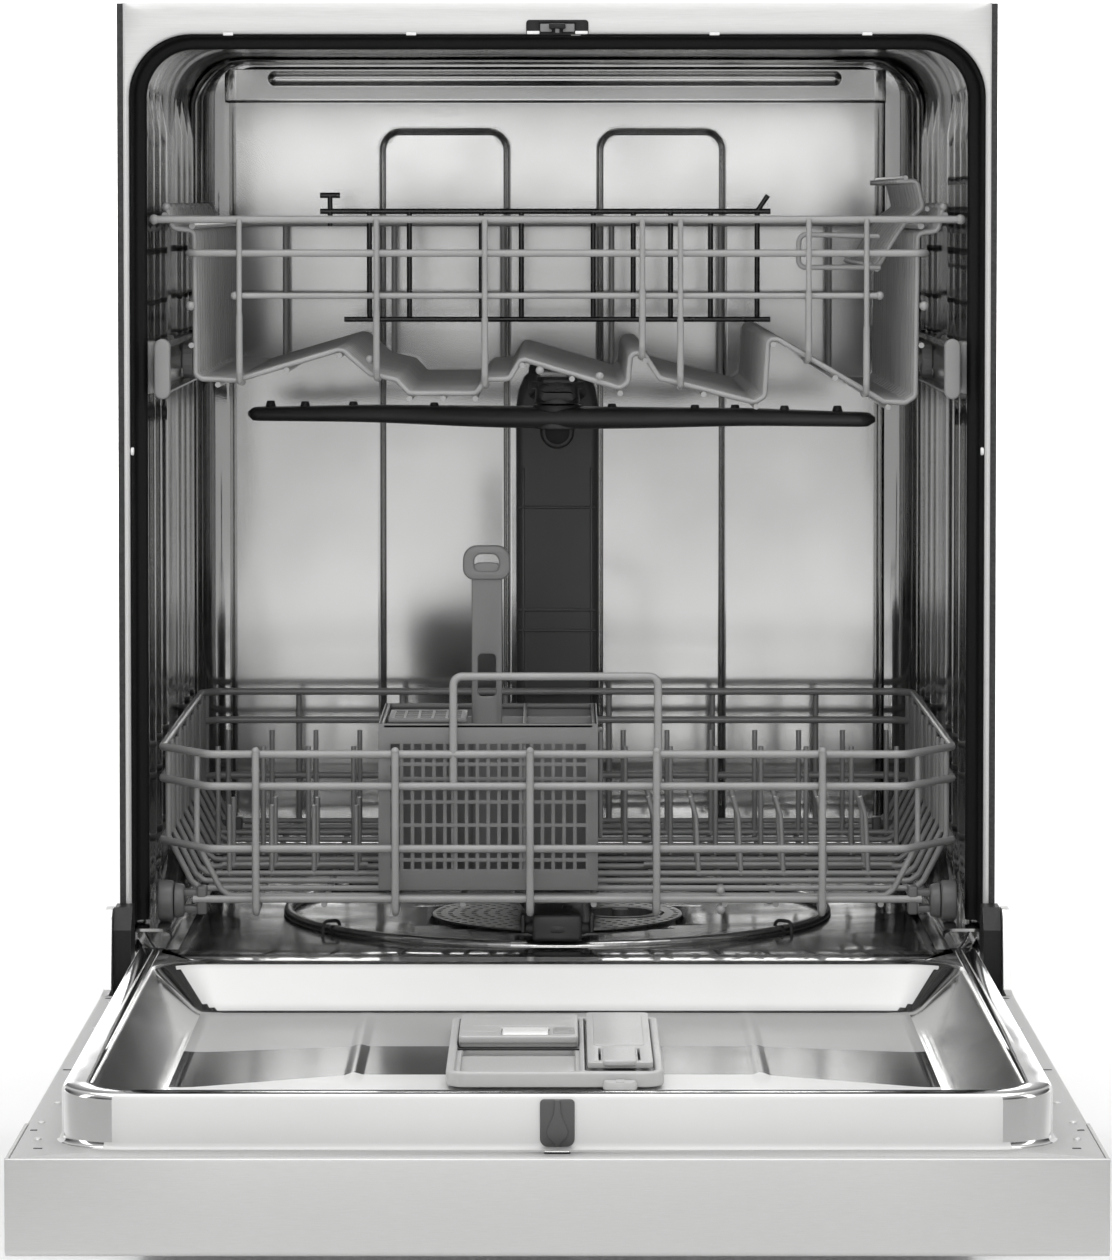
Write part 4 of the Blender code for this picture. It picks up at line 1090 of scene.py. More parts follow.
# =============================================================================
# Lower rack
# =============================================================================
runs = []
for z in (348, 326, 283):
    r = 2.75
    runs.append(([(-100, 505, z), (-262, 505, z), (-274.3, 492, z), (-274.3, 86, z), (-239, 34, z),
                  (239, 34, z), (274.3, 86, z), (274.3, 492, z), (262, 505, z), (-101, 505, z)], r, 11))
runs.append(([(-71.2, 36.6, 324), (-71.2, 34, 350), (-71.2, 34, 401.5), (69, 34, 401.5),
              (69, 34, 350), (69, 36.6, 324)], 2.75, 6))
for x in (-206.5, -111, -18.7, 68, 181.5):
    runs.append(([(x, 29.8, 350), (x, 29.8, 241), (x, 35, 238.6), (x, 60, 241.4)], 2.6, 4.5))
# U ribs across the rack
for i in range(12):
    y = 52 + 40.6 * i
    lim = 1.0
    if y < 86:
        lim = (239 + (y - 34) * 35 / 52) / 274.0
    side = 270.8 * lim
    runs.append(([(-side, y, 346), (-side, y, 285), (-side + 16, y, 253.4), (-side + 22, y, 248.4),
                  (side - 22, y, 248.4), (side - 16, y, 253.4), (side, y, 285), (side, y, 346)],
                 2.1, 6))
for x in (-244, -206.5, -160, -111, -65, -18.7, 25, 68, 115, 150, 181.5, 222, 246):
    runs.append(([(x, 37, 244.4), (x, 508, 244.4)], 2.2, 0))
runs.append(([(-250, 38, 247.8), (250, 38, 247.8)], 2.6, 0))
for x in (-200, -120, -40, 40, 120, 200):
    runs.append(([(x, 508.6, 350), (x, 508.6, 244)], 2.2, 0))
for y in (120, 200, 280, 360, 440):
    for s in (-1, 1):
        runs.append(([(s * 271.4, y + 12, 349), (s * 271.4, y + 12, 283)], 2.0, 0))
put(wires("lower_basket_wires", runs, M["wire"], 2), "lower_rack", "coated_wire",
    "lower_rack_front", "lower_rack_floor", "lower_rack_side_left", "lower_rack_side_right",
    "lower_rack_back")
runs = []
for y in (262, 382):
    runs.append(([(-254, y, 253.2), (254, y, 253.2)], 2.0, 0))
    for i in range(16):
        x = -247 + 32.93 * i
        runs.append(([(x, y, 251), (x, y, 322), (x, y + 1.6, 330)], 1.9, 6))
put(wires("lower_tine_wires", runs, M["wire"], 2), "lower_rack", "coated_wire",
    "lower_rack_tines_middle", "lower_rack_tines_rear")
runs = []
for x0, x1 in ((62, 240),):
    for y in (150, 200):
        runs.append(([(x0, y, 251.6), (x1, y, 251.6)], 1.9, 0))
        x = x0 + 8
        while x < x1:
            runs.append(([(x, y, 250), (x - 2, y, 292), (x - 6, y, 306)], 1.8, 8))
            x += 30
for y in (150, 200):
    runs.append(([(-240, y, 251.6), (-136, y, 251.6)], 1.9, 0))
    for x in (-232, -202, -172, -142):
        runs.append(([(x, y, 250), (x, y, 300)], 1.8, 0))
put(wires("lower_short_tines", runs, M["wire"], 2), "lower_rack", "coated_wire")
tips = []
for x in (-206.5, -111, -18.7, 68, 181.5):
    tips.append(ball((x, 60, 241.4), 2.9))
    tips.append(ball((x, 29.8, 350.6), 2.8))
tips.append(ball((112, 38, 240.4), 3.2))
tips.append(ball((112, 38, 254), 3.0))
put(bm_object("lower_basket_tips", merge(*tips), M["wire"]), "lower_rack", "coated_wire")

# wheels with treaded rims, hubs, and their clips on the rack
def wheel(s, y, out, name):
    z, r = 246.3, 14.0
    x0, x1 = 263.4, out
    rws = []
    prof = [(x0, 3.0), (x0, 12.6), (x0 + 0.8, 13.7), (x0 + 2.0, r), (x1 - 2.0, r), (x1 - 0.8, 13.7),
            (x1, 12.8), (x1, 10.8), (x1 - 1.0, 10.2), (x1 - 2.6, 9.8), (x1 - 2.8, 5.0),
            (x1 - 1.2, 4.4), (x1 - 0.8, 3.6), (x1 - 0.8, 0.4)]
    n = 48
    for px, pr in prof:
        rws.append([(s * px, y + pr * math.cos(2 * math.pi * i / n),
                     z + pr * math.sin(2 * math.pi * i / n)) for i in range(n)])
    v, f = loft(rws, cap0=True, cap1=True)
    put(mesh_object(f"wheel_{name}", v, f, M["wheel"], sharp=30), f"lower_wheel_{name}",
        "mid_plastic", f"lower_rack_wheel_{name}")
    spokes = []
    for k in range(6):
        a = math.radians(60 * k)
        spokes.append(box(-1.0, 1.0, 4.2, 10.2, -0.8, 0.8))
        bmesh.ops.rotate(spokes[-1], cent=(0, 0, 0), matrix=Matrix.Rotation(a, 3, "X"),
                         verts=spokes[-1].verts)
        bmesh.ops.translate(spokes[-1], vec=(s * (x1 - 2.0), y, z), verts=spokes[-1].verts)
    put(bm_object(f"wheel_spokes_{name}", merge(*spokes), M["wheel"]), f"lower_wheel_{name}",
        "mid_plastic")


for name, s, y, out in (("front_left", -1, 42.5, 274.0), ("front_right", 1, 42.5, 274.0),
                        ("rear_left", -1, 455, 271.4), ("rear_right", 1, 455, 271.4)):
    wheel(s, y, out, name)
clips = []
for s in (-1, 1):
    for y in (42.5, 455):
        def b(x0, x1, *rest):
            return rbox(min(s * x0, s * x1), max(s * x0, s * x1), *rest)
        clips.append(cyl((s * 262.9, y, 246.3), (s * 256, y, 246.3), 12.4, 36, 11.0, 1.4))
        clips.append(b(246, 258, y - 5, y + 5, 238.6, 243.2, 1.2))
        clips.append(b(246, 258, y - 5, y + 5, 249.4, 254.2, 1.2))
        clips.append(b(240.6, 247.6, y - 6.5, y + 6.5, 237.2, 256.6, 1.6))
put(bm_object("wheel_clips", merge(*clips), M["wheel"]), "lower_rack", "mid_plastic")

# =============================================================================
# Cutlery basket
# =============================================================================
BX0, BX1, BY0, BY1, BZ0, BZ1 = -123.0, 28.0, 44.0, 196.0, 253.2, 368.0


def grid_wall(u0, u1, pitch, z_levels, slat=2.6, bar=2.6):
    rects = [(u0, u1, BZ0, BZ0 + 14.5), (u0, u1, BZ1 - 14.0, BZ1)]
    rects += [(u0, u0 + 8.5, BZ0, BZ1), (u1 - 8.5, u1, BZ0, BZ1)]
    n = max(1, round((u1 - u0 - 17) / pitch))
    for i in range(1, n):
        c = u0 + 8.5 + (u1 - u0 - 17) * i / n
        rects.append((c - slat / 2, c + slat / 2, BZ0, BZ1))
    for z in z_levels:
        rects.append((u0, u1, z - bar / 2, z + bar / 2))
    return outline_of(rects)


levels = [274, 282.5, 298, 314, 330, 340]
parts = []
for y0, y1 in ((BY0, BY0 + 2.6), (BY1 - 2.6, BY1)):
    parts.append(plate(grid_wall(BX0, BX1, 7.4, levels), "Y", y0, y1, 0.45))
for x0 in (BX0, BX0 + 49.9, BX0 + 99.2, BX1 - 2.6):
    parts.append(plate(grid_wall(BY0 + 1.2, BY1 - 1.2, 9.0, [282.5, 314, 340]), "X", x0, x0 + 2.6,
                       0.45))
rects = [(BX0 + 1, BX1 - 1, BY0 + 1, BY0 + 8), (BX0 + 1, BX1 - 1, BY1 - 8, BY1 - 1)]
for i in range(19):
    x = BX0 + 3 + i * 8.05
    rects.append((x - 1.5, x + 1.5, BY0 + 1, BY1 - 1))
for i in range(17):
    y = BY0 + 5 + i * 9.0
    rects.append((BX0 + 1, BX1 - 1, y - 1.2, y + 1.2))
parts.append(plate(outline_of(rects), "Z", BZ0, BZ0 + 2.6, 0.3))
# rolled lip round the top
lip = plate([round_rect(BX0 - 0.0, BX1 + 0.0, BY0, BY1, 4, 4, 5),
             round_rect(BX0 + 4.2, BX1 - 4.2, BY0 + 4.2, BY1 - 4.2, 2, 2, 5)],
            "Z", BZ1 - 3.6, BZ1, 1.1, 2)
parts.append(lip)
put(bm_object("basket_body", merge(*parts), M["mid"]), "cutlery_basket", "mid_plastic",
    "cutlery_basket")
grip = [
    plate([round_rect(-60, -38.6, 256, 474, 4, 6, 6),
           round_rect(-55.6, -43, 380, 410, 3, 3, 5)], "Y", 115.6, 121.4, 1.0, 2),
    plate([round_rect(-66, -33, 462, 486, 8, 10, 8),
           round_rect(-58, -41, 468, 480, 4, 5, 6)], "Y", 113.8, 123.0, 1.6, 2),
    rbox(BX0 + 2, BX1 - 2, 116.6, 120.4, BZ0 + 1, BZ1 - 2, 0.6),
]
put(bm_object("basket_handle", merge(*grip), M["mid"]), "cutlery_basket", "mid_plastic")
lid = []
rects = [(BX0 + 7, -62.5, 50, 54), (BX0 + 7, -62.5, 108, 112), (BX0 + 7, BX0 + 11, 50, 112),
         (-66.5, -62.5, 50, 112)]
for i in range(3):
    rects.append((BX0 + 7, -62.5, 63 + i * 13, 65 + i * 13))
for i in range(4):
    rects.append((BX0 + 17 + i * 9.6, BX0 + 19 + i * 9.6, 50, 112))
lid.append(plate(outline_of(rects), "Z", BZ1 + 0.4, BZ1 + 3.2, 0.4))
put(bm_object("basket_lid", merge(*lid), M["mid"]), "cutlery_basket", "mid_plastic")
hook = [rbox(28.2, 31.4, 70, 82, 286, 362, 1.2), rbox(24, 31.4, 70, 82, 358.6, 362.2, 1.2)]
put(bm_object("basket_hook", merge(*hook), M["mid"]), "cutlery_basket", "mid_plastic")

# =============================================================================
# Door: pressed inner pan
# =============================================================================
def pan_contour(h, f, b, rf, rb, z, ext=None):
    """Closed outline of the pan: half width h, front y f, back y b.

    With ext=(width, y) the sides run on past the back edge as two horns.
    """
    pts = arc(-h + rf, f + rf, rf, 180, 270, 14) + arc(h - rf, f + rf, rf, 270, 360, 14)
    if ext:
        w, ye, inner = ext
        pts += arc(h - 3, ye - 3, 3, 0, 90, 5)
        pts += arc(h - w + 3, ye - 3, 3, 90, 180, 5)
        pts += arc(h - w - inner, b + inner, inner, 360, 270, 5)
        pts += arc(-h + w + inner, b + inner, inner, 270, 180, 5)
        pts += arc(-h + w - 3, ye - 3, 3, 0, 90, 5)
        pts += arc(-h + 3, ye - 3, 3, 90, 180, 5)
    else:
        pts += arc(h - rb, b - rb, rb, 0, 45, 5) + arc(h - rb, b - rb, rb, 45, 75, 5)
        pts += arc(h - rb, b - rb, rb, 75, 90, 5)
        pts += arc(-h + rb, b - rb, rb, 90, 105, 5) + arc(-h + rb, b - rb, rb, 105, 135, 5)
        pts += arc(-h + rb, b - rb, rb, 135, 180, 5)
    out = []
    for x, y in pts:
        out.append((x, y, z))
    return out


# the flange runs out to the door's edge; its outline has the same point count
def flange_contour(grow, z):
    h = 300.8 - grow
    f, b = -697 + grow, -13 - grow
    n = 277 - grow
    k = -101 - grow
    pts = []
    pts += [(-h, f + 6 - 6 * i / 14) for i in range(15)]
    pts += [(h, f + 6 * i / 14) for i in range(15)]
    pts += [(h, k)] * 6
    pts += [(n, k)] * 3 + [(n, b)] * 3
    pts += [(n - 30 * i / 5, b) for i in range(6)]
    pts += [(-n + 30 - 30 * i / 5, b) for i in range(6)]
    pts += [(-n, b)] * 3 + [(-n, k)] * 3
    pts += [(-h, k)] * 6
    return [(x, y, z) for x, y in pts]


EXT = (20.0, -86.0, 8.0)
rows = [flange_contour(0.0, 199.6), flange_contour(0.0, 201.1), flange_contour(0.4, 201.5)]
for g, z in ((2.6, 201.5), (1.2, 202.0), (0.3, 203.4), (0.0, 205.0), (0.0, 228.6), (0.35, 230.2),
             (1.2, 231.4), (2.8, 232.0)):
    rows.append(pan_contour(278 + (g if z < 210 else -g), -670 - (g if z < 210 else -g),
                            -116 + (g if z < 210 else -g), 40, 8,
                            z, (EXT[0] + (2 * g if z < 210 else -2 * g),
                                EXT[1] + (g if z < 210 else -g), EXT[2])))
RB = 34
for h, f, b, rf, z in ((262.6, -654.6, -148, 27, 232.0), (261.2, -653.2, -150.6, 26, 231.5),
                       (260.0, -652.0, -153.4, 25.4, 230.2), (258.6, -650.8, -156.6, 25, 228.2),
                       (236.0, -643.4, -184.0, 25, 209.2), (233.4, -642.4, -187.4, 25, 207.2),
                       (230.6, -641.4, -190.4, 25, 205.6), (227.6, -640.6, -192.6, 24, 204.6)):
    rows.append(pan_contour(h, f, b, rf, RB - (232 - z) * 0.8, z))
# under the shaped floor the sheet closes towards the middle
for s, z in ((0.97, 203.6), (0.9, 201.6), (0.5, 201.6), (0.1, 201.6)):
    base = pan_contour(227.6, -640.6, -192.6, 24, 12, z)
    rows.append([(x * s, -420 + (y + 420) * s, z) for x, y, z in base])
v, f = loft(rows, cap1=True)
pan = mesh_object("door_pan", v, f, M["pan"], sharp=48)
pan.data.materials.append(M["flange"])
pan.data.materials.append(M["panwall_painted_light"])
pan.data.materials.append(M["panrear_painted_light"])
pan.data.materials[1] = M["panflange"]
# outer walls and rear slope take the pale painted-light copies of the pan steel
for p in pan.data.polygons:
    c = p.center
    if c.z < 0.2030 and (abs(c.x) > 0.2795 or c.y < (OY - 672) * MM or c.y > (OY - 113) * MM):
        p.material_index = 1
    elif c.z < 0.2312 and (abs(c.x) > 0.2755 or c.y < (OY - 668.5) * MM):
        p.material_index = 2
    elif 0.2045 < c.z < 0.2300 and c.y > (OY - 189) * MM and abs(c.x) < 0.262 and c.y < (OY - 150) * MM and abs(p.normal.y) > 0.45:
        p.material_index = 3
sol = pan.modifiers.new("gauge", "SOLIDIFY")
sol.thickness = 0.8 * MM
sol.offset = -1.0
# the slot that the striker's hook enters when the door shuts
slot_tool = bm_object("slot_tool", rbox(-7.2, 7.2, -685.4, -677.2, 198.4, 204.2, 0.8, 3), M["pan"])
cut = pan.modifiers.new("hook_slot", "BOOLEAN")
cut.operation = "DIFFERENCE"
cut.solver = "EXACT"
cut.object = slot_tool
bpy.context.view_layer.update()
me = bpy.data.meshes.new_from_object(pan.evaluated_get(bpy.context.evaluated_depsgraph_get()))
pan.modifiers.clear()
pan.data = me
bpy.data.objects.remove(slot_tool)
put(pan, "door", "tub_steel", "inner_door_panel")

# the recess floor: three shallow planes that meet at creases, and two ribs; the rear plane carries a darker tone and
# the middle band a near-black tone as painted shade, the front plane a pale tone as painted light
def crease(x, mid, fall):
    return mid - fall * max(0.0, abs(x) - 121.0) / 108.0


def floor_point(x, v):
    rear, top, low, front = -191.0, crease(x, -328.0, 26.0), crease(x, -432.0, 52.0), -643.0
    if v < 1:
        y, z = rear + (top - rear) * v, 204.5 - 0.1 * v
    elif v < 2:
        y, z = top + (low - top) * (v - 1), 204.4 - 0.5 * (v - 1)
    else:
        y = low + (front - low) * (v - 2)
        z = 203.9 - min(1.9, (low - y) * 0.052)
    u = (abs(x) - 122.0) / 6.4
    if abs(u) < 1 and y > -452:
        z += 1.3 * (1 - u * u) ** 2 * min(1, (y + 452) / 10) * min(1, max(0, (-198 - y) / 12))
    edge = max(0.0, abs(x) - 212.0)
    z += edge * edge * 0.004
    return x, y, z


fx = axis_points(-229, 229, 7.0, (-122, 122), 0.8, 7.5)
fv = [k / 10 for k in range(0, 10)] + [1 + k / 8 for k in range(0, 8)] + [2 + k / 24 for k in range(0, 25)]
fv = sorted(set(fv) | {0.985, 1.015, 1.985, 2.008})
vs = [floor_point(x, v) for v in fv for x in fx]
n = len(fx)
fs = [(j * n + i, j * n + i + 1, (j + 1) * n + i + 1, (j + 1) * n + i)
      for j in range(len(fv) - 1) for i in range(n - 1)]
ribs = mesh_object("pan_floor", vs, fs, M["satin_painted_shade"], sharp=80)
ribs.data.materials.append(M["band"])
ribs.data.materials.append(M["satinfront_painted_light"])
for p in ribs.data.polygons:
    x, y = p.center.x / MM, p.center.y / MM - OY
    if y < crease(x, -432.0, 52.0):
        p.material_index = 2
    elif y < crease(x, -328.0, 26.0):
        p.material_index = 1
sol = ribs.modifiers.new("gauge", "SOLIDIFY")
sol.thickness = 0.5 * MM
sol.offset = -1.0
put(ribs, "door", "tub_steel")

# double bead along the inner edge of each side rim
bead = []
for s in (-1, 1):
    bead.append(([(s * 263.4, -520, 230.6), (s * 263.0, -500, 230.9), (s * 263.0, -104, 230.9)], 1.35, 20))
    bead.append(([(s * 268.0, -500, 230.8), (s * 267.6, -480, 231.2), (s * 267.6, -96, 231.2)], 1.05, 0))
put(wires("rim_beads", bead, M["pan"], 3), "door", "tub_steel")

# door flange screws, and near-black marks over its slots as painted shade
scr = []
for s in (-1, 1):
    for x, y in ((291, -640), (294, -585), (291, -520), (293, -240), (293, -130)):
        scr.append(cyl((s * x, y, 201.2), (s * x, y, 202.3), 2.4, 18, 2.0, 0.3))
put(bm_object("flange_screws", merge(*scr), M["arm_plate"]), "door", "arm_steel")
slots = []
for s in (-1, 1):
    for x, y, l in ((288, -668, 5), (296, -610, 4), (296, -400, 6), (290, -190, 5), (296, -110, 4)):
        slots.append(rbox(s * x - l / 2, s * x + l / 2, y - 1.3, y + 1.3, 201.3, 201.75, 0.15, 1))
put(bm_object("flange_slot_painted_shade", merge(*slots), M["black"]), "door", "black_plastic")

# latch guide
lg = merge(
    plate([round_rect(-9.6, 9.6, 203.0, 229.6, 4.6, 2.4, 6)], "Y", -672.2, -670.2, 0.6, 2),
    plate([[(0, 203.2), (5.6, 208.6), (6.3, 212), (2.2, 221), (1.5, 229.5), (-1.5, 229.5),
            (-2.2, 221), (-6.3, 212), (-5.6, 208.6)]], "Y", -673.6, -671.6, 0.7, 3))
put(bm_object("latch_plate", lg, M["latch"]), "door", "mid_plastic", "latch_guide")

# =============================================================================
# Dispenser
# =============================================================================
frame_p = plate([round_rect(-66, 63, -480, -264, 12, 7, 8),
                 round_rect(-60.8, 13.4, -473, -269.6, 4, 4, 6),
                 round_rect(17.2, 57.6, -473, -269.6, 4, 4, 6)], "Z", 204.0, 213.0, 1.5, 2)
well = plate([round_rect(-61.6, 14.2, -474, -268.8, 5, 5, 6),
              round_rect(-58, 11, -458, -372, 6, 6, 6)], "Z", 204.8, 209.4, 0.4)
cup = plate([round_rect(-59, 12, -459, -371, 8, 8, 6)], "Z", 203.8, 206.0, 0.3)
well2 = plate([round_rect(16.6, 58.2, -474, -268.8, 5, 5, 6)], "Z", 204.8, 209.6, 0.4)
put(bm_object("dispenser_frame", merge(frame_p, well, cup, well2), M["light"]), "door",
    "light_plastic", "dispenser_housing")
cover = merge(
    plate([round_rect(-60.2, 12.8, -369, -270.2, 3.0, 3.5, 5)], "Z", 210.2, 215.6, 1.0, 2),
    plate([round_rect(-60.2, 12.8, -372, -300, 3.0, 5.0, 5),
           round_rect(-34.4, -4.8, -366, -338, 1.5, 1.5, 3)], "Z", 213.0, 217.6, 1.2, 2),
    rbox(-52, 6, -330.6, -329.2, 217.0, 217.9, 0.3),
    rbox(-58, -36, -353, -351.4, 217.0, 217.9, 0.3))
put(bm_object("dispenser_cover", cover, M["light"]), "detergent_lid", "light_plastic",
    "detergent_lid")
put(bm_object("dispenser_window", merge(rbox(-33.6, -5.6, -365.0, -339.0, 214.2, 217.9, 0.8)),
              M["clear"]), "detergent_lid", "white_plastic")
put(bm_object("dispenser_button", merge(
    rbox(-2.6, 10.6, -363, -341, 216.4, 218.3, 0.8),
    rbox(-0.6, 8.6, -359, -345, 217.6, 218.6, 0.5)),
    M["cap"]), "detergent_lid", "light_plastic")
rl = merge(
    plate([round_rect(18.0, 56.8, -466, -271, 3.2, 3.2, 5),
           round_rect(24.6, 26.0, -458, -412, 0.6, 0.6, 2),
           round_rect(48.0, 49.4, -458, -412, 0.6, 0.6, 2)], "Z", 213.2, 216.8, 0.5, 2),
    plate([round_rect(27.0, 47.0, -468, -414, 3.0, 1.5, 5)], "Z", 214.6, 218.2, 1.0, 2),
    plate([round_rect(22.0, 52.6, -404, -284, 3.0, 3.0, 5)], "Z", 215.6, 217.4, 0.7, 2),
    cyl((24, -271.5, 214.2), (30, -271.5, 214.2), 2.4, 20, bevel=0.4),
    cyl((45, -271.5, 214.2), (51, -271.5, 214.2), 2.4, 20, bevel=0.4))
put(bm_object("rinse_lid", rl, M["light"]), "rinse_aid_lid", "light_plastic", "rinse_aid_lid")
# thin near-black slivers laid in the seams round the lids: painted shade in the gaps
st = [rbox(16.0, 17.0, -472, -270, 209.4, 212.9, 0.2, 1), rbox(-61.2, -60.6, -372, -270, 209.6, 212.6, 0.2, 1),
      rbox(-60.8, 13.4, -375.4, -373.6, 209.3, 210.2, 0.2, 1), rbox(17.4, 57.4, -472.6, -468.4, 209.5, 210.4, 0.2, 1)]
put(bm_object("dispenser_gap_painted_shade", merge(*st), M["black"]), "door", "black_plastic")
put(bm_object("dispenser_knob", merge(cyl((37, -481, 203.4), (37, -481, 208.6), 10.5, 40, 9.6, 1.2),
                                      rbox(34.6, 39.4, -489.5, -481, 208.2, 209.2, 0.4)),
              M["light"]), "door", "light_plastic")

# =============================================================================
# Control fascia: folded steel band with rounded edges
# =============================================================================
fas = []
sec = []          # section of the band in (y, z): bottom face, rolled front edge, top lip
sec += [(-688.0, 147.0), (-696.6, 147.0)]
sec += [(-696.6 + 3.4 * math.cos(math.radians(a)), 150.4 + 3.4 * math.sin(math.radians(a)))
        for a in (250, 230, 210, 190)]
sec += [(-700, 151), (-700, 199.6), (-699.6, 200.8), (-698.8, 201.3), (-697.6, 201.3),
        (-697.4, 200.4), (-697.4, 151), (-696.2, 149.6), (-688.0, 149.6)]
rws = []
for x in (-303.5, -303.2, -302.0, -180, -60, 60, 180, 302.0, 303.2, 303.5):
    k = 0.0 if abs(x) < 302.5 else (0.5 if abs(x) < 303.4 else 1.2)
    rws.append([(x, y + (k if y < -690 else 0), z + (k if z < 149 else 0)) for y, z in sec])
v, f = loft(rws, cap0=True, cap1=True)
fas_o = mesh_object("fascia_band", v, f, M["fascia"], sharp=32)
put(fas_o, "door", "fascia_steel", "control_fascia")
ends = []
for s in (-1, 1):
    a, b = sorted((s * 301.3, s * 303.5))
    ends.append(plate([[(-586, 147.2), (-697.2, 147.2), (-699.4, 149.4), (-699.4, 200.4),
                        (-698.4, 201.3), (-586, 201.3)]], "X", a, b, 0.5))
put(bm_object("fascia_ends", merge(*ends), M["fascia"]), "door", "fascia_steel")
sole = plate([[(-302.9, -689), (302.9, -689), (302.9, -586), (-302.9, -586)],
              round_rect(-118.4, 118.4, -646.4, -595.6, 8.4, 8.4, 8),
              round_rect(165.4, 190.6, -626.6, -613.4, 1, 1, 3),
              round_rect(201.4, 226.6, -626.6, -613.4, 1, 1, 3)], "Z", 147.1, 149.5, 0.4)
put(bm_object("fascia_sole", sole, M["fascia"]), "door", "fascia_steel")
pocket = merge(
    plate([round_rect(-118, 118, -646, -596, 8, 8, 8),
           round_rect(-114, 114, -642, -600, 5, 5, 8)], "Z", 146.6, 170, 0.8, 2),
    plate([round_rect(-117, 117, -645, -597, 7, 7, 8)], "Z", 168, 171.6, 0.6))
put(bm_object("handle_cup", pocket, M["black"]), "door", "black_plastic")
trim = plate([round_rect(160, 232, -632, -608, 4, 4, 6),
              round_rect(165.4, 190.6, -626.6, -613.4, 1, 1, 3),
              round_rect(201.4, 226.6, -626.6, -613.4, 1, 1, 3)], "Z", 146.3, 147.4, 0.3)
put(bm_object("button_trim", trim, M["black"]), "door", "black_plastic")

# =============================================================================
# Stage, light and camera
# =============================================================================
def stage_mesh():
    n, rad, r = 96, 15.0, 3.0
    prof = [(1.5, 0.0), (6.0, 0.0), (rad - r, 0.0)]
    prof += [(rad - r + r * math.sin(math.radians(a)), r - r * math.cos(math.radians(a)))
             for a in range(6, 79, 6)]
    v, f = [(0.0, 0.0, 0.0)], []
    for q, z in prof:
        v += [(q * math.cos(2 * math.pi * i / n), q * math.sin(2 * math.pi * i / n), z)
              for i in range(n)]
    f += [(0, 1 + i, 1 + (i + 1) % n) for i in range(n)]
    for k in range(len(prof) - 1):
        p, q = 1 + k * n, 1 + (k + 1) * n
        f += [(p + i, q + i, q + (i + 1) % n, p + (i + 1) % n) for i in range(n)]
    me = bpy.data.meshes.new("studio_sweep")
    me.from_pydata(v, [], f)
    me.polygons.foreach_set("use_smooth", [True] * len(me.polygons))
    o = bpy.data.objects.new("studio_sweep", me)
    bpy.context.scene.collection.objects.link(o)
    return o


sweep = stage_mesh()
mat, nt, b = new_material("pale_floor")
b.inputs["Base Color"].default_value = (0.93, 0.93, 0.93, 1)
b.inputs["Roughness"].default_value = 0.9
nt.links.new(mix_colour(nt, noise(nt, coords(nt), 1.2, 2.0), (0.92,) * 3, (0.94,) * 3),
             b.inputs["Base Color"])
sweep.data.materials.append(mat)


def area(name, loc, aim, size, power, size_y=None):
    li = bpy.data.lights.new(name, "AREA")
    li.shape = "RECTANGLE"
    li.size = size
    li.size_y = size_y or size
    li.energy = power
    o = bpy.data.objects.new(name, li)
    bpy.context.scene.collection.objects.link(o)
    o.location = loc
    o.rotation_euler = (Vector(aim) - Vector(loc)).to_track_quat("-Z", "Y").to_euler()
    return o


area("key_top", (0.0, -0.1, 2.7), (0, -0.1, 0.2), 3.2, 66, 3.0)
area("front_fill", (0.0, -5.4, 1.9), (0, 0, 0.5), 3.0, 50, 1.6)
area("back_glow", (0.0, 3.4, 3.0), (0, 8.0, 0.0), 5.0, 150, 2.0)
area("back_glow_far", (0.0, 9.0, 6.5), (0, 15.0, 1.5), 9.0, 1500, 3.0)
area("left_fill", (-3.4, -0.8, 1.7), (0, 0, 0.4), 1.0, 16, 2.4)
area("right_fill", (3.4, -0.8, 1.7), (0, 0, 0.4), 1.0, 16, 2.4)

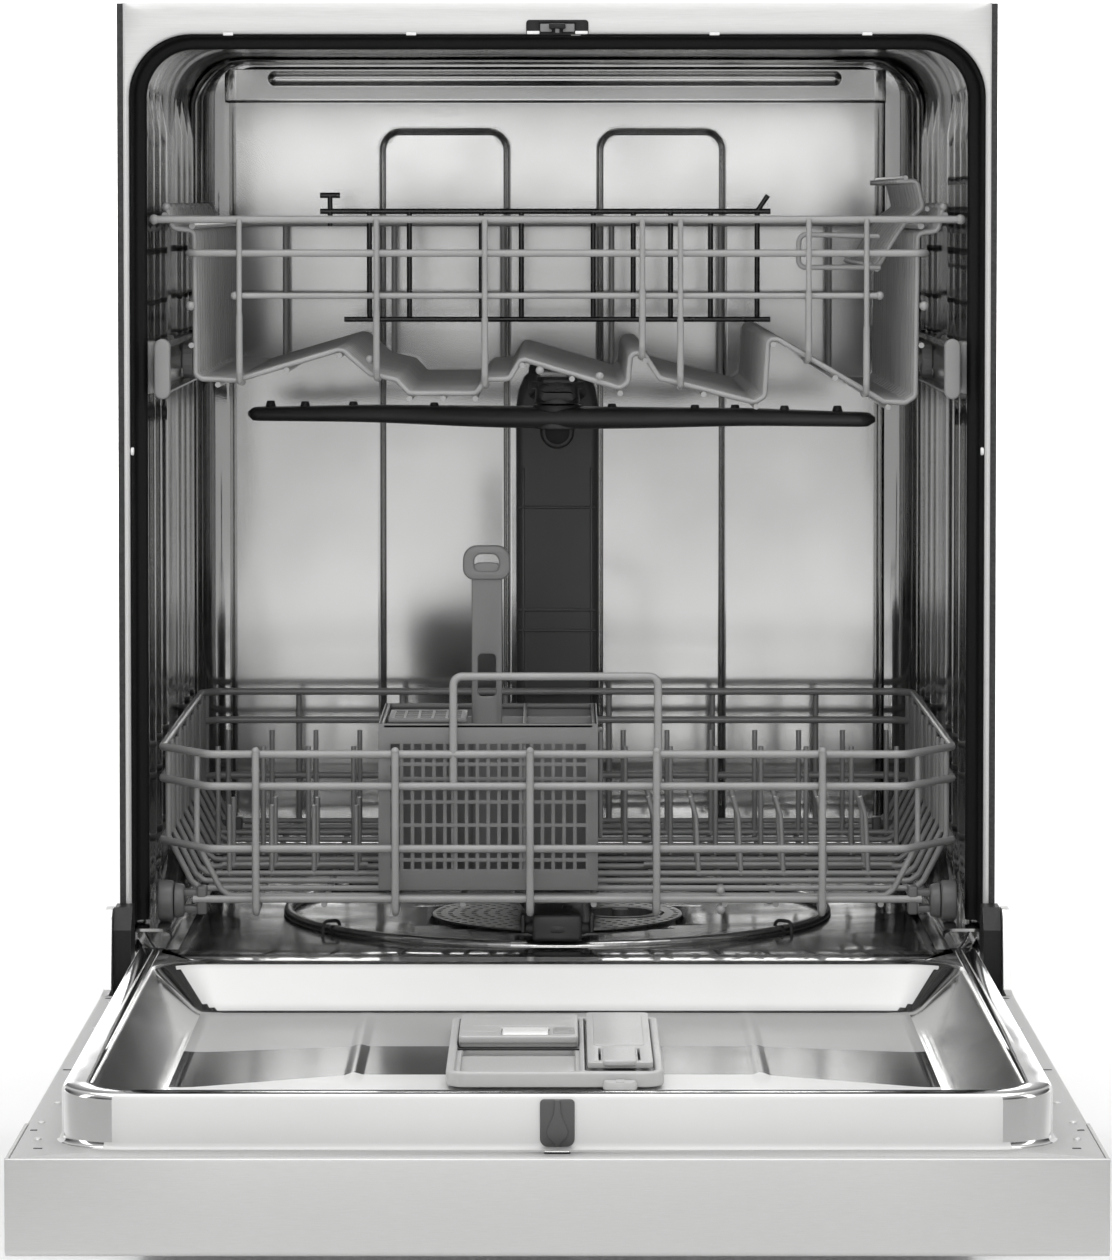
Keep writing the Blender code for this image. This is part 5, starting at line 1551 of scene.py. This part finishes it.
# dark flags each side of the camera axis, as in a studio, give steel its contrast
world = bpy.data.worlds.new("studio")
world.use_nodes = True
wn = world.node_tree
bg = wn.nodes["Background"]
tc = wn.nodes.new("ShaderNodeTexCoord")
sep = wn.nodes.new("ShaderNodeSeparateXYZ")
wn.links.new(tc.outputs["Generated"], sep.inputs[0])
ab = wn.nodes.new("ShaderNodeMath")
ab.operation = "ABSOLUTE"
wn.links.new(sep.outputs["X"], ab.inputs[0])
rp = wn.nodes.new("ShaderNodeValToRGB")
rp.color_ramp.interpolation = "B_SPLINE"
els = rp.color_ramp.elements
els[0].position, els[0].color = 0.0, (0.85, 0.85, 0.85, 1)
els[1].position, els[1].color = 1.0, (0.5, 0.5, 0.5, 1)
for pos, val in ((0.08, 0.8), (0.13, 0.25), (0.2, 0.12), (0.27, 0.75), (0.42, 0.9), (0.52, 0.15),
                 (0.78, 0.06), (0.9, 0.3)):
    e = els.new(pos)
    e.color = (val, val, val, 1)
wn.links.new(ab.outputs[0], rp.inputs[0])
up = wn.nodes.new("ShaderNodeMapRange")
up.inputs["From Min"].default_value = 0.35
up.inputs["From Max"].default_value = 0.85
wn.links.new(sep.outputs["Z"], up.inputs["Value"])
mx = wn.nodes.new("ShaderNodeMix")
mx.data_type = "RGBA"
mx.inputs["B"].default_value = (1.0, 1.0, 1.0, 1)
wn.links.new(up.outputs[0], mx.inputs["Factor"])
wn.links.new(rp.outputs[0], mx.inputs["A"])
wn.links.new(mx.outputs["Result"], bg.inputs["Color"])
bg.inputs["Strength"].default_value = 0.8
bpy.context.scene.world = world
bpy.context.scene.view_settings.view_transform = "Standard"
bpy.context.scene.view_settings.look = "None"

cam_data = bpy.data.cameras.new("camera")
cam = bpy.data.objects.new("camera", cam_data)
bpy.context.scene.collection.objects.link(cam)
cam_data.sensor_width = 36.0
cam_data.sensor_fit = "AUTO"
cam_data.lens = 5318.9 / 1260 * 36.0
cam_data.shift_x = -1.3 / 1260
cam_data.shift_y = -0.14
cam_data.clip_start = 0.1
cam_data.clip_end = 60
cam.location = (0, (-3595.4 + OY) * MM, 724.53 * MM)
cam.rotation_euler = (math.pi / 2 - 0.0469, 0, 0)
bpy.context.scene.camera = cam
